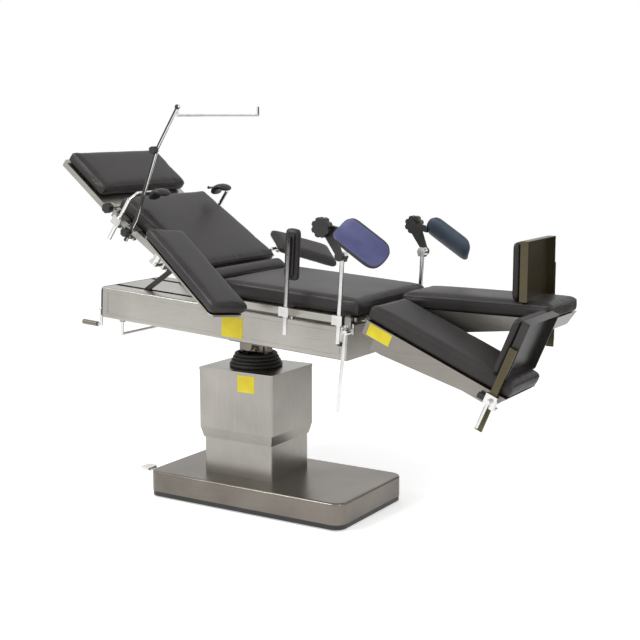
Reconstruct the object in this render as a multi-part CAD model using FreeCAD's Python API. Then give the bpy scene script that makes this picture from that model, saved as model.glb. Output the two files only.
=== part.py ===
import FreeCAD, Part
import math
import os

from FreeCAD import Placement, Rotation, Vector

# Operating table, millimetres. The origin is on the floor under the centre of the base.
# X runs towards the foot end, Y towards the far side, Z up.

# Base
base_length = 872.0
base_width = 480.0
base_corner = 45.0
base_cover_height = 80.0
base_edge_round = 9.0
base_sheet = 2.5
chassis_height = 18.0
chassis_inset = 1.5
foot_height = 6.0
foot_radius = 22.0
foot_inset = 62.0

# Column
column_x = -86.0
shroud_length = 338.0
shroud_width = 286.0
shroud_corner = 8.0
shroud_sheet = 2.0
shroud_step = 14.0
shroud_running_gap = 2.5
upper_shroud_bottom = 243.0
upper_shroud_top = 517.0
shroud_lip = 1.0
shroud_lip_height = 9.0
shroud_taper_height = 40.0
lower_shroud_top = 400.0
ram_radius = 45.0
ram_bottom = 142.0
ram_flange_radius = 88.0
ram_flange_thickness = 13.0
barrel_wall = 13.0
barrel_top = 392.0
barrel_floor = 10.0
running_clearance = 0.05
seat_clearance = 0.3
pump_length = 210.0
pump_width = 150.0
pump_height = 62.0
pump_x = 250.0

# Foot pedal at the head end of the base
pedal_rod_radius = 7.0
pedal_reach = 95.0
pedal_pad_length = 46.0
pedal_pad_width = 58.0
pedal_pad_thickness = 10.0
pedal_y = -120.0
pedal_z = 66.0
pedal_slot_height = 46.0

# Tilting head on the column
trunnion_z = 600.0
table_tilt = 3.3
trunnion_radius = 12.0
ear_radius = 18.0
pedestal_ear_inner = 50.0
pedestal_ear_thickness = 14.0
pedestal_plate_thickness = 12.0
pedestal_plate_radius = 62.0
saddle_ear_inner = 44.0
saddle_ear_thickness = 12.0
saddle_head_length = 70.0
saddle_foot_length = 105.0
saddle_half_width = 90.0
saddle_depth = 28.0
saddle_opening_length = 80.0
bellows_radius = 106.0
bellows_top_radius = 80.0
bellows_inner_radius = 67.5
bellows_folds = 4
bellows_fold_height = 13.0
bellows_fold_depth = 9.0

# Main frame, in the tilted table's own coordinates from the trunnion axis
frame_head_end = -606.0
frame_foot_end = 516.0
frame_bottom = 46.0
frame_height = 122.0
frame_half_width = 195.0
frame_sheet = 3.0
frame_round = 7.0
end_cap_thickness = 8.0
panel_inset = 26.0
panel_depth = 1.2
head_slot_end = -214.0
link_slot_half_width = 14.0
kidney_slot_half_width = 58.0
kidney_slot_foot_end = -46.0

# Cushions and section trays
table_half_width = 260.0
cushion_thickness = 60.0
cushion_round = 13.0
leg_cushion_thickness = 52.0
head_cushion_thickness = 50.0
cushion_top = 280.0
pivot_depth = 28.0
section_gap = 14.0
tray_thickness = 12.0
tray_side_inset = 1.0
beam_inner = 150.0
beam_outer = 172.0
hinge_ear_radius = 20.0
hinge_ear_thickness = 8.0
hinge_side_gap = 1.0
hinge_pin_radius = 8.0
ear_root_start = 30.0
ear_root_end = 84.0

# Side rails
rail_height = 25.0
rail_thickness = 10.0
rail_standoff = 14.0
rail_drop = 31.0
standoff_length = 26.0
near_standoff_reach = 150.0
far_standoff_reach = 226.0

# Back section
back_pivot_x = -30.5
back_angle = 31.2
back_length = 527.0
kidney_length = 61.0
kidney_gap = 6.0
kidney_post_radius = 9.0
kidney_post_y = 35.0
kidney_post_length = 130.0
kidney_tube_radius = 14.0
kidney_tube_length = 34.0
kidney_bar_drop = 16.0
link_pin_reach = 228.0
link_pin_drop = 64.0
link_y = 110.0
link_length = 338.0
link_angle = 37.4
link_half_width = 6.0
link_half_height = 9.0
link_pin_radius = 6.0
link_ear_thickness = 6.0

# Head section
head_pivot_gap = 13.0
head_pivot_drop = 45.0
head_angle = 4.9
head_cushion_start = 65.0
head_cushion_length = 225.0
head_top = 41.0
head_tray_depth = 22.0
head_arm_y = 211.0
head_arm_thickness = 8.0
head_pin_radius = 7.0
head_knob_radius = 19.0
head_knob_length = 26.0

# Leg sections
leg_pivot_x = 603.0
seat_bar_start = 60.0
seat_bar_setback = 133.0
seat_bar_width = 34.0
leg_pivot_z = 214.0
leg_pivot_depth = 64.7
leg_knuckle_radius = 13.0
leg_knuckle_half = 8.0
outer_knuckle_y = 185.0
inner_knuckle_y = 60.0
wing_gap = 1.0
wing_thickness = 8.0
wing_radius = 12.0
leg_cushion_start = 2.5
leg_frame_start = 20.0
leg_length = 590.0
leg_split_gap = 10.0
near_leg_angle = 19.5
far_leg_angle = -3.3
leg_frame_depth = 50.0
leg_frame_sheet = 3.0
leg_frame_end = 548.0
leg_panel_start = 70.0
leg_panel_depth = 86.0
leg_panel_flat = 44.0
leg_panel_end = 430.0
leg_slant = 60.0
swing_pivot_reach = 42.0
swing_pivot_inset = 31.0
swing_pin_radius = 11.0
hinge_block_length = 74.0
hinge_block_height = 16.0
leg_lever_radius = 6.0
leg_lever_length = 270.0
leg_lever_setback = 37.0

# Foot boards
near_board_setback = 66.0
far_board_setback = 126.0
board_height = 205.0
board_cushion_thickness = 36.0
board_plate_thickness = 4.0
board_plate_depth = 28.0
board_post_width = 26.0
board_post_thickness = 8.0
board_post_drop = 190.0
board_clamp_size = 46.0
board_knob_radius = 11.0
board_lever_radius = 5.0
board_lever_length = 92.0

# Clamps and posts on the rails
clamp_length = 40.0
clamp_wall = 9.0
clamp_gap = 0.4
clamp_height_above = 10.0
post_radius = 8.0
post_offset = 26.0
knob_radius = 16.0
knob_length = 22.0
t_screw_drop = 52.0

# Leg crutches
near_crutch_x = 545.0
far_crutch_x = 534.0
near_crutch_above = 172.0
far_crutch_above = 130.0
crutch_post_below = 120.0
crutch_joint_radius = 17.0
crutch_disc_radius = 35.0
crutch_disc_thickness = 26.0
crutch_arm_rise = 102.0
crutch_arm_back = 62.0
trough_radius = 78.0
trough_thickness = 26.0
trough_length = 205.0
trough_span = 108.0
trough_slope = 29.0
trough_roll = 52.0

# Lateral supports
near_support_x = 328.0
support_pad_width = 66.0
support_pad_height = 188.0
support_pad_thickness = 35.0
support_rise = 67.0
support_plate_width = 34.0
support_plate_thickness = 3.0
support_plate_inset = 22.0

# Arm boards
near_arm_swing = 11.8
arm_board_width = 181.0
arm_board_length = 460.0
arm_board_thickness = 42.0
arm_board_top = 103.0
arm_pivot_reach = 196.0
arm_pivot_from_end = 42.0
far_pad_reach = 141.0
far_pad_length = 300.0
far_pad_width = 145.0
far_pad_swing = 60.0
far_pad_offset = 52.0
far_pad_thickness = 36.0
far_pad_drop_travel = 10.0

# Screen over the head end
screen_reach = 384.0
screen_rod_radius = 6.5
screen_post_length = 277.0
screen_post_lean = 13.1
screen_upper_length = 185.0
screen_upper_lean = 1.5
screen_bar_length = 510.0
screen_bar_drop = 30.0
screen_tip_rise = 34.0

# Shoulder supports
shoulder_reach = 452.0
shoulder_rod_radius = 6.0
shoulder_rise = 56.0
shoulder_in = 92.0
shoulder_pad_radius = 46.0
shoulder_pad_thickness = 22.0
shoulder_pad_width = 70.0
shoulder_pad_span = 150.0
shoulder_pad_tip = 40.0

# Cranks under the head end
crank_y = -165.0
crank_z = 70.0
crank_shaft_radius = 8.0
crank_arm = 62.0
crank_grip_length = 96.0
crank_rod_radius = 6.0
lock_lever_x = -520.0
lock_lever_y = -174.0
lock_lever_drop = 58.0
lock_lever_reach = 245.0

FULL_TURN = 360.0
AXIS_X = Vector(1, 0, 0)
AXIS_Y = Vector(0, 1, 0)
AXIS_Z = Vector(0, 0, 1)


# Frames of reference: each section is drawn flat about its own pivot and then placed

def turn_y(angle):
    return Rotation(AXIS_Y, angle)


def frame_at(parent, x, y, z, rotation=None):
    local = Placement(Vector(x, y, z), rotation or Rotation())
    return parent.multiply(local)


pivot_z = cushion_top - pivot_depth
head_pivot_reach = back_length + head_pivot_gap
TABLE = Placement(Vector(column_x, 0, trunnion_z), turn_y(table_tilt))
BACK = frame_at(TABLE, back_pivot_x, 0, pivot_z, turn_y(back_angle))
HEAD = frame_at(BACK, -head_pivot_reach, 0, -head_pivot_drop, turn_y(head_angle))
NEAR_LEG = frame_at(TABLE, leg_pivot_x, 0, leg_pivot_z, turn_y(near_leg_angle))
FAR_LEG = frame_at(TABLE, leg_pivot_x, 0, leg_pivot_z, turn_y(far_leg_angle))
BACK_TO_TABLE = turn_y(-back_angle)


def placed(shape, frame):
    result = shape.copy()
    result.Placement = frame.multiply(result.Placement)
    return result


# Basic solids

def block(x0, x1, y0, y1, z0, z1):
    low = Vector(min(x0, x1), min(y0, y1), min(z0, z1))
    return Part.makeBox(abs(x1 - x0), abs(y1 - y0), abs(z1 - z0), low)


def rod(radius, start, end):
    run = end - start
    return Part.makeCylinder(radius, run.Length, start, run)


def tube(outer, inner, start, end):
    return rod(outer, start, end).cut(rod(inner, start, end))


def ball(radius, centre):
    return Part.makeSphere(radius, centre)


def fuse(shapes):
    first = shapes[0]
    return first.fuse(shapes[1:]).removeSplitter()


def mirrored(shape):
    return shape.mirror(Vector(0, 0, 0), AXIS_Y)


def upright_edges(shape):
    found = []
    for edge in shape.Edges:
        box = edge.BoundBox
        if box.ZLength > 1.0 and box.XLength < 0.01 and box.YLength < 0.01:
            found.append(edge)
    return found


def level_edges(shape, height):
    found = []
    for edge in shape.Edges:
        box = edge.BoundBox
        if abs(box.ZMin - height) < 0.01 and abs(box.ZMax - height) < 0.01:
            found.append(edge)
    return found


def rounded_block(x0, x1, y0, y1, z0, z1, corner):
    solid = block(x0, x1, y0, y1, z0, z1)
    return solid.makeFillet(corner, upright_edges(solid))


def cushion(x0, x1, y0, y1, top, thickness):
    solid = block(x0, x1, y0, y1, top - thickness, top)
    return solid.makeFillet(cushion_round, solid.Edges)


def bent_rod(radius, points):
    pieces = []
    for start, end in zip(points, points[1:]):
        pieces.append(rod(radius, start, end))
    for corner in points[1:-1]:
        pieces.append(ball(radius, corner))
    return fuse(pieces)


def plate_outline(points, y0, y1):
    corners = [Vector(x, y0, z) for x, z in points]
    face = Part.Face(Part.makePolygon(corners + corners[:1]))
    return face.extrude(Vector(0, y1 - y0, 0))


def knob(radius, length, start, direction, lobes=6):
    axis = Vector(direction)
    axis.normalize()
    body = Part.makeCylinder(radius, length, start, axis)
    groove = radius * 0.22
    side = axis.cross(AXIS_X)
    if side.Length < 0.1:
        side = axis.cross(AXIS_Z)
    side.normalize()
    for lobe in range(lobes):
        turned = Rotation(axis, FULL_TURN * lobe / lobes).multVec(side)
        centre = start + turned * radius * 1.08
        body = body.cut(Part.makeCylinder(groove, length, centre, axis))
    return body


# Base

def base_feet():
    feet = []
    for side_x in (-1, 1):
        for side_y in (-1, 1):
            x = side_x * (base_length / 2 - foot_inset)
            y = side_y * (base_width / 2 - foot_inset)
            cone = Part.makeCone(foot_radius, foot_radius * 0.8, foot_height, Vector(x, y, 0))
            feet.append(cone)
    return Part.makeCompound(feet)


def base_chassis():
    half_x = base_length / 2 - chassis_inset
    half_y = base_width / 2 - chassis_inset
    low = foot_height
    high = foot_height + chassis_height
    return rounded_block(-half_x, half_x, -half_y, half_y, low, high, base_corner - chassis_inset)


def base_top():
    return foot_height + chassis_height + base_cover_height


def base_cover():
    half_x = base_length / 2
    half_y = base_width / 2
    low = foot_height + chassis_height
    high = base_top()
    outer = rounded_block(-half_x, half_x, -half_y, half_y, low, high, base_corner)
    outer = outer.makeFillet(base_edge_round, level_edges(outer, high))
    inner = rounded_block(-half_x + base_sheet, half_x - base_sheet, -half_y + base_sheet,
                          half_y - base_sheet, low, high - base_sheet, base_corner - base_sheet)
    inner = inner.makeFillet(base_edge_round - base_sheet, level_edges(inner, high - base_sheet))
    cover = outer.cut(inner)
    opening = ram_radius + barrel_wall + 4
    cover = cover.cut(Part.makeCylinder(opening, base_edge_round * 2,
                                        Vector(column_x, 0, high - base_edge_round)))
    slot_half = pedal_rod_radius + 3
    slot = block(-half_x - 1, -half_x + base_sheet + 1, pedal_y - slot_half, pedal_y + slot_half,
                 pedal_z - pedal_slot_height, pedal_z + slot_half)
    return cover.cut(slot)


def pump_block():
    low = foot_height + chassis_height
    body = rounded_block(pump_x - pump_length / 2, pump_x + pump_length / 2, -pump_width / 2,
                         pump_width / 2, low, low + pump_height, 10)
    filler = Part.makeCylinder(16, 8, Vector(pump_x, 0, low + pump_height))
    port = rod(9, Vector(pump_x - pump_length / 2 - 30, 0, low + 30),
               Vector(pump_x - pump_length / 2, 0, low + 30))
    return fuse([body, filler, port])


def pedal_bracket():
    low = foot_height + chassis_height
    inner_x = -base_length / 2 + 46
    ears = []
    for side in (-1, 1):
        y0 = pedal_y + side * (pedal_rod_radius + 3)
        ears.append(block(inner_x - 12, inner_x + 12, y0, y0 + side * 6, low, pedal_z + 11))
    foot = block(inner_x - 20, inner_x + 20, pedal_y - 26, pedal_y + 26, low, low + 5)
    bracket = fuse(ears + [foot])
    hole = rod(5 + running_clearance, Vector(inner_x, pedal_y - 40, pedal_z),
               Vector(inner_x, pedal_y + 40, pedal_z))
    return bracket.cut(hole)


def pump_pedal():
    inner_x = -base_length / 2 + 46
    out_x = -base_length / 2 - pedal_reach
    shaft = rod(5, Vector(inner_x, pedal_y - 18, pedal_z), Vector(inner_x, pedal_y + 18, pedal_z))
    lever = rod(pedal_rod_radius, Vector(inner_x, pedal_y, pedal_z), Vector(out_x, pedal_y, pedal_z))
    hub = rod(pedal_rod_radius + 2, Vector(inner_x, pedal_y - 9, pedal_z),
              Vector(inner_x, pedal_y + 9, pedal_z))
    half = pedal_pad_width / 2
    pad = rounded_block(out_x - pedal_pad_length / 2, out_x + pedal_pad_length / 2, pedal_y - half,
                        pedal_y + half, pedal_z + 3, pedal_z + 3 + pedal_pad_thickness, 9)
    return fuse([lever, shaft, hub, pad])


# Column

def lower_shroud():
    half_x = shroud_length / 2 - shroud_step
    half_y = shroud_width / 2 - shroud_step
    low = base_top()
    outer = rounded_block(column_x - half_x, column_x + half_x, -half_y, half_y, low,
                          lower_shroud_top, shroud_corner)
    inner = rounded_block(column_x - half_x + shroud_sheet, column_x + half_x - shroud_sheet,
                          -half_y + shroud_sheet, half_y - shroud_sheet, low, lower_shroud_top,
                          shroud_corner - shroud_sheet)
    return outer.cut(inner)


def rounded_outline(half_x, half_y, corner, z):
    solid = rounded_block(column_x - half_x, column_x + half_x, -half_y, half_y, z, z + 10, corner)
    for face in solid.Faces:
        box = face.BoundBox
        if abs(box.ZMin - z) < 0.01 and abs(box.ZMax - z) < 0.01:
            return face.OuterWire
    return None


def tapered_shell(half_x, half_y, narrow_x, narrow_y, corner, low, bend):
    wires = [rounded_outline(narrow_x, narrow_y, corner, low),
             rounded_outline(half_x, half_y, corner, bend)]
    return Part.makeLoft(wires, True, True)


def upper_shroud():
    half_x = shroud_length / 2
    half_y = shroud_width / 2
    bend = upper_shroud_bottom + shroud_taper_height
    in_x = half_x - shroud_step + shroud_running_gap
    in_y = half_y - shroud_step + shroud_running_gap
    skirt = tapered_shell(half_x, half_y, in_x + shroud_sheet, in_y + shroud_sheet, shroud_corner,
                          upper_shroud_bottom, bend)
    body = rounded_block(column_x - half_x, column_x + half_x, -half_y, half_y, bend,
                         upper_shroud_top, shroud_corner)
    lip_x = half_x + shroud_lip
    lip_y = half_y + shroud_lip
    lip = rounded_block(column_x - lip_x, column_x + lip_x, -lip_y, lip_y,
                        upper_shroud_top - shroud_lip_height, upper_shroud_top, shroud_corner)
    outer = fuse([skirt, body, lip])
    wall = shroud_sheet
    inner_skirt = tapered_shell(half_x - wall, half_y - wall, in_x, in_y, shroud_corner - wall,
                                upper_shroud_bottom, bend)
    inner_body = rounded_block(column_x - half_x + wall, column_x + half_x - wall, -half_y + wall,
                               half_y - wall, bend, upper_shroud_top - 3, shroud_corner - wall)
    return outer.cut(inner_skirt).cut(inner_body)


def lift_cylinder():
    low = foot_height + chassis_height
    outer = ram_radius + barrel_wall
    barrel = rod(outer, Vector(column_x, 0, low), Vector(column_x, 0, barrel_top))
    bore = rod(ram_radius + running_clearance, Vector(column_x, 0, low + barrel_floor),
               Vector(column_x, 0, barrel_top))
    return barrel.cut(bore)


def lift_ram():
    flange_top = upper_shroud_top - 3
    ram = rod(ram_radius, Vector(column_x, 0, ram_bottom), Vector(column_x, 0, flange_top))
    flange = rod(ram_flange_radius, Vector(column_x, 0, flange_top - ram_flange_thickness),
                 Vector(column_x, 0, flange_top))
    return fuse([ram, flange])


def tilt_pedestal():
    low = upper_shroud_top
    plate_top = low + pedestal_plate_thickness
    plate = rod(pedestal_plate_radius, Vector(column_x, 0, low), Vector(column_x, 0, plate_top))
    pieces = [plate]
    for side in (-1, 1):
        x0 = column_x + side * pedestal_ear_inner
        x1 = x0 + side * pedestal_ear_thickness
        pieces.append(rod(ear_radius, Vector(x0, 0, trunnion_z), Vector(x1, 0, trunnion_z)))
        pieces.append(block(x0, x1, -ear_radius, ear_radius, plate_top - 6, trunnion_z))
    bore = rod(trunnion_radius + running_clearance, Vector(column_x - 90, 0, trunnion_z),
               Vector(column_x + 90, 0, trunnion_z))
    return fuse(pieces).cut(bore)


def tilt_cross():
    half = pedestal_ear_inner - 1
    roll_end = pedestal_ear_inner + pedestal_ear_thickness
    pitch_end = saddle_ear_inner + saddle_ear_thickness
    pieces = [block(-half, half, -26, 26, -24, 24),
              block(-24, 24, -saddle_ear_inner + 1, saddle_ear_inner - 1, -20, 20),
              rod(trunnion_radius, Vector(-roll_end, 0, 0), Vector(roll_end, 0, 0)),
              rod(trunnion_radius, Vector(0, -pitch_end, 0), Vector(0, pitch_end, 0))]
    return placed(fuse(pieces), Placement(Vector(column_x, 0, trunnion_z), Rotation()))


def bellows_outline():
    points = [Vector(bellows_inner_radius, 0, 0)]
    arcs = []
    shrink = (bellows_radius - bellows_top_radius) / bellows_folds
    for fold in range(bellows_folds):
        z0 = fold * bellows_fold_height
        z1 = z0 + bellows_fold_height
        r0 = bellows_radius - shrink * fold - bellows_fold_depth
        r1 = r0 - shrink
        mid = Vector(bellows_radius - shrink * (fold + 0.5), 0, (z0 + z1) / 2)
        arcs.append(Part.Arc(Vector(r0, 0, z0), mid, Vector(r1, 0, z1)).toShape())
        points.append((r0, z0))
    top = bellows_folds * bellows_fold_height
    last = bellows_radius - shrink * bellows_folds - bellows_fold_depth
    first = Vector(bellows_radius - bellows_fold_depth, 0, 0)
    inner_low = Vector(bellows_inner_radius, 0, 0)
    inner_high = Vector(bellows_inner_radius, 0, top)
    edges = [Part.makeLine(inner_low, first)] + arcs
    if last > bellows_inner_radius:
        edges.append(Part.makeLine(Vector(last, 0, top), inner_high))
    edges.append(Part.makeLine(inner_high, inner_low))
    return Part.Wire(edges)


def bellows():
    ring = Part.Face(bellows_outline()).revolve(Vector(0, 0, 0), AXIS_Z, FULL_TURN)
    return placed(ring, Placement(Vector(column_x, 0, upper_shroud_top), Rotation()))


# Main frame

def tilt_saddle():
    low = frame_bottom - saddle_depth
    body = rounded_block(-saddle_head_length, saddle_foot_length, -saddle_half_width,
                         saddle_half_width, low, frame_bottom, 10)
    inner_y = saddle_ear_inner
    opening = block(-saddle_opening_length, saddle_opening_length, -inner_y, inner_y, low - 1,
                    frame_bottom + 1)
    pieces = [body.cut(opening)]
    for side in (-1, 1):
        y0 = side * saddle_ear_inner
        y1 = y0 + side * saddle_ear_thickness
        pieces.append(rod(ear_radius, Vector(0, y0, 0), Vector(0, y1, 0)))
        pieces.append(block(-ear_radius, ear_radius, y0, y1, 0, low + 4))
    bore = rod(trunnion_radius + running_clearance, Vector(0, -120, 0), Vector(0, 120, 0))
    return placed(fuse(pieces).cut(bore), TABLE)


def frame_top():
    return frame_bottom + frame_height


def main_frame():
    top = frame_top()
    half = frame_half_width
    outer = block(frame_head_end, frame_foot_end, -half, half, frame_bottom, top)
    lengthwise = [edge for edge in outer.Edges if edge.BoundBox.XLength > frame_height]
    outer = outer.makeFillet(frame_round, lengthwise)
    wall = frame_sheet
    inner = block(frame_head_end - 1, frame_foot_end - wall, -half + wall, half - wall,
                  frame_bottom + wall, top - wall)
    shell = outer.cut(inner)
    for side in (-1, 1):
        y0 = side * link_y - link_slot_half_width
        y1 = side * link_y + link_slot_half_width
        shell = shell.cut(block(frame_head_end - 1, head_slot_end, y0, y1, top - wall - 1, top + 1))
    kidney = block(head_slot_end, kidney_slot_foot_end, -kidney_slot_half_width,
                   kidney_slot_half_width, top - wall - 1, top + 1)
    below = block(-saddle_opening_length, saddle_opening_length, -saddle_ear_inner,
                  saddle_ear_inner, frame_bottom - 1, frame_bottom + wall + 1)
    shell = shell.cut(kidney).cut(below)
    for side in (-1, 1):
        shell = shell.cut(frame_side_panel(side))
    bearing, bore = lock_lever_bearing()
    return placed(shell.fuse(bearing).cut(bore), TABLE)


def frame_side_panel(side):
    # A shallow rounded recess runs along each long side, as a pressed panel line
    x0 = frame_head_end + panel_inset
    x1 = frame_foot_end - panel_inset
    z0 = frame_bottom + panel_inset * 0.7
    z1 = frame_top() - panel_inset * 0.7
    y0 = side * (frame_half_width - panel_depth)
    outer = block(x0, x1, y0, side * (frame_half_width + 1), z0, z1)
    inner = block(x0 + 4, x1 - 4, y0 - side, side * (frame_half_width + 2), z0 + 4, z1 - 4)
    return outer.cut(inner)


def frame_end_cap():
    top = frame_top()
    x0 = frame_head_end - end_cap_thickness
    half = frame_half_width
    plate = rounded_block(0, half * 2, 0, frame_height, 0, end_cap_thickness, 16)
    turned = Placement(Vector(x0, -half, top), Rotation(AXIS_Y, 90).multiply(Rotation(AXIS_Z, 90)))
    plate.Placement = turned
    box = plate.BoundBox
    plate.translate(Vector(x0 - box.XMin, -half - box.YMin, frame_bottom - box.ZMin))
    boss = rod(18, Vector(x0 - 8, crank_y, crank_z), Vector(x0 + 1, crank_y, crank_z))
    second = rod(12, Vector(x0 - 5, 0, crank_z + 30), Vector(x0 + 1, 0, crank_z + 30))
    slots = []
    for row in range(4):
        z = frame_bottom + 40 + row * 14
        slots.append(block(x0 - 1, x0 + 3, 60, 150, z, z + 5))
    cap = fuse([plate, boss, second])
    for slot in slots:
        cap = cap.cut(slot)
    bore = rod(crank_shaft_radius + running_clearance, Vector(x0 - 20, crank_y, crank_z),
               Vector(x0 + 30, crank_y, crank_z))
    return placed(cap.cut(bore), TABLE)


def head_crank():
    x0 = frame_head_end - end_cap_thickness - 8
    elbow_x = x0 - 14
    shaft = rod(crank_shaft_radius, Vector(frame_head_end + 6, crank_y, crank_z),
                Vector(elbow_x, crank_y, crank_z))
    elbow = Vector(elbow_x, crank_y, crank_z)
    low = Vector(elbow_x, crank_y, crank_z - crank_arm)
    grip_end = Vector(elbow_x - crank_grip_length, crank_y, crank_z - crank_arm)
    arm = bent_rod(crank_rod_radius, [elbow, low, grip_end])
    hub = ball(crank_shaft_radius + 3, elbow)
    return placed(fuse([shaft, arm, hub]), TABLE)


def crank_grip():
    elbow_x = frame_head_end - end_cap_thickness - 22
    z = crank_z - crank_arm
    start = Vector(elbow_x - 20, crank_y, z)
    end = Vector(elbow_x - crank_grip_length + 2, crank_y, z)
    return placed(rod(crank_rod_radius + 4, start, end), TABLE)


def lock_lever():
    top = Vector(lock_lever_x, lock_lever_y, frame_bottom + frame_sheet + 4)
    low = Vector(lock_lever_x, lock_lever_y, frame_bottom - lock_lever_drop)
    end = Vector(lock_lever_x, lock_lever_y + lock_lever_reach, frame_bottom - lock_lever_drop)
    bar = bent_rod(crank_rod_radius, [top, low, end])
    tip = ball(crank_rod_radius + 4, end)
    return placed(fuse([bar, tip]), TABLE)


def lock_lever_bearing():
    low = Vector(lock_lever_x, lock_lever_y, frame_bottom - 8)
    high = Vector(lock_lever_x, lock_lever_y, frame_bottom + frame_sheet)
    bore_low = Vector(lock_lever_x, lock_lever_y, frame_bottom - 9)
    bore_high = Vector(lock_lever_x, lock_lever_y, frame_bottom + frame_sheet + 1)
    boss = rod(12, low, high)
    bore = rod(crank_rod_radius + running_clearance, bore_low, bore_high)
    return boss, bore


# Seat

def seat_start():
    return back_pivot_x + section_gap


def seat_end():
    return leg_pivot_x - section_gap + leg_cushion_start


def hinge_ear(direction, inner_y, side):
    # Ear about the pivot at the origin, rooted on a tray that lies below it
    y0 = side * inner_y
    y1 = side * (inner_y + hinge_ear_thickness)
    tray_top = pivot_depth - cushion_thickness
    tray_low = tray_top - tray_thickness
    tangent = hinge_ear_radius * 0.94
    points = [(-direction * 7, tangent), (direction * ear_root_start, tray_top + 6),
              (direction * ear_root_end, tray_top), (direction * ear_root_end, tray_low),
              (direction * 16, tray_low), (-direction * tangent, -7)]
    web = plate_outline(points, y0, y1)
    eye = rod(hinge_ear_radius, Vector(0, y0, 0), Vector(0, y1, 0))
    return fuse([eye, web])


def pin_hole(radius):
    reach = table_half_width + 60
    return rod(radius, Vector(0, -reach, 0), Vector(0, reach, 0))


def seat_frame():
    tray_top = cushion_top - cushion_thickness
    tray_low = tray_top - tray_thickness
    half = table_half_width + tray_side_inset
    tray = block(seat_start() + 4, seat_end() - 4, -half, half, tray_low, tray_top)
    for y in leg_ear_places():
        reach = wing_reach() + 2
        tray = tray.cut(block(seat_end() - 30, seat_end(), y - reach, y + reach, tray_low - 1,
                              tray_top + 1))
    pieces = [tray]
    for side in (-1, 1):
        pieces.append(block(seat_start() + 22, frame_foot_end - 12, side * beam_inner,
                            side * beam_outer, frame_top(), tray_low))
        ear = hinge_ear(1, table_half_width + hinge_side_gap, side)
        pieces.append(placed(ear, Placement(Vector(back_pivot_x, 0, pivot_z), Rotation())))
    for x in (seat_bar_start, leg_pivot_x - seat_bar_setback):
        pieces.append(block(x, x + seat_bar_width, -beam_inner, beam_inner, frame_top(), tray_low))
    pieces.append(leg_hinge_seat())
    frame = fuse(pieces)
    hole = pin_hole(hinge_pin_radius + running_clearance)
    frame = frame.cut(placed(hole, Placement(Vector(back_pivot_x, 0, pivot_z), Rotation())))
    frame = frame.cut(placed(hole, Placement(Vector(leg_pivot_x, 0, leg_pivot_z), Rotation())))
    return placed(frame, TABLE)


def leg_ear_places():
    return (-outer_knuckle_y, -inner_knuckle_y, inner_knuckle_y, outer_knuckle_y)


def wing_reach():
    return leg_knuckle_half + wing_gap + wing_thickness


def leg_hinge_seat():
    # Four knuckles reach out from the foot end of the seat tray
    tray_top = cushion_top - cushion_thickness
    pieces = []
    for y in leg_ear_places():
        y0 = y - leg_knuckle_half
        y1 = y + leg_knuckle_half
        eye = rod(leg_knuckle_radius, Vector(leg_pivot_x, y0, leg_pivot_z),
                  Vector(leg_pivot_x, y1, leg_pivot_z))
        web = plate_outline([(leg_pivot_x, leg_pivot_z + 6), (seat_end() - 8, tray_top),
                             (seat_end() - 60, tray_top - tray_thickness),
                             (leg_pivot_x - 30, leg_pivot_z - 17), (leg_pivot_x, leg_pivot_z - 12)],
                            y0, y1)
        pieces += [eye, web]
    return fuse(pieces)


def seat_cushion():
    solid = cushion(seat_start(), seat_end(), -table_half_width, table_half_width, cushion_top,
                    cushion_thickness)
    return placed(solid, TABLE)


def rail(x0, x1, side, standoffs):
    # Drawn against a pivot-height datum: the top of the rail lies rail_drop below it
    tray_top = pivot_depth - cushion_thickness
    inner = side * (table_half_width + rail_standoff)
    outer = inner + side * rail_thickness
    bar = block(x0, x1, inner, outer, -rail_drop - rail_height, -rail_drop)
    pieces = [bar]
    for x in standoffs:
        low = tray_top - tray_thickness
        pieces.append(block(x, x + standoff_length, side * (table_half_width + tray_side_inset),
                            inner, low, tray_top))
    return fuse(pieces)


def seat_rail(side):
    x0 = seat_start() + 84 - back_pivot_x + 6
    start = x0 + back_pivot_x
    solid = rail(start, seat_end() - 14, side, (start + 20, start + 300, seat_end() - 106))
    return placed(placed(solid, Placement(Vector(0, 0, pivot_z), Rotation())), TABLE)


# Back section, drawn flat with its pivot at the origin and the head towards -X

def back_frame():
    tray_top = pivot_depth - cushion_thickness
    tray_low = tray_top - tray_thickness
    start = section_gap + kidney_length + kidney_gap / 2
    half = table_half_width + tray_side_inset
    pieces = [block(-back_length + 6, -start, -half, half, tray_low, tray_top)]
    for side in (-1, 1):
        pieces.append(block(-back_length + 50, -start, side * beam_inner, side * beam_outer,
                            tray_low - 26, tray_low))
        ear_y = table_half_width + 2 * hinge_side_gap + hinge_ear_thickness
        pieces.append(hinge_ear(-1, ear_y, side))
        pieces.append(block(-ear_root_end - 24, -start, side * (half - 4), side * (ear_y + 8),
                            tray_low, tray_top))
        pieces.append(block(-ear_root_end - 4, -24, side * (beam_inner), side * beam_outer,
                            tray_low - 26, tray_low - 4))
        pieces.append(link_ears(side, tray_low))
        pieces.append(head_ears(side, tray_low, tray_top))
    bar_top = tray_low - 4
    pieces.append(block(-section_gap - kidney_length + 6, -section_gap - 8, -beam_outer,
                        beam_outer, bar_top - kidney_bar_drop, bar_top))
    middle_x = -section_gap - kidney_length / 2
    for side in (-1, 1):
        top = Vector(middle_x, side * kidney_post_y, bar_top)
        low = Vector(middle_x, side * kidney_post_y, bar_top - kidney_tube_length)
        pieces.append(rod(kidney_tube_radius, low, top))
    frame = fuse(pieces)
    for side in (-1, 1):
        top = Vector(middle_x, side * kidney_post_y, tray_top)
        low = Vector(middle_x, side * kidney_post_y, bar_top - kidney_tube_length - 1)
        frame = frame.cut(rod(kidney_post_radius + running_clearance, low, top))
    frame = frame.cut(pin_hole(hinge_pin_radius))
    return placed(frame, BACK)


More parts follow.
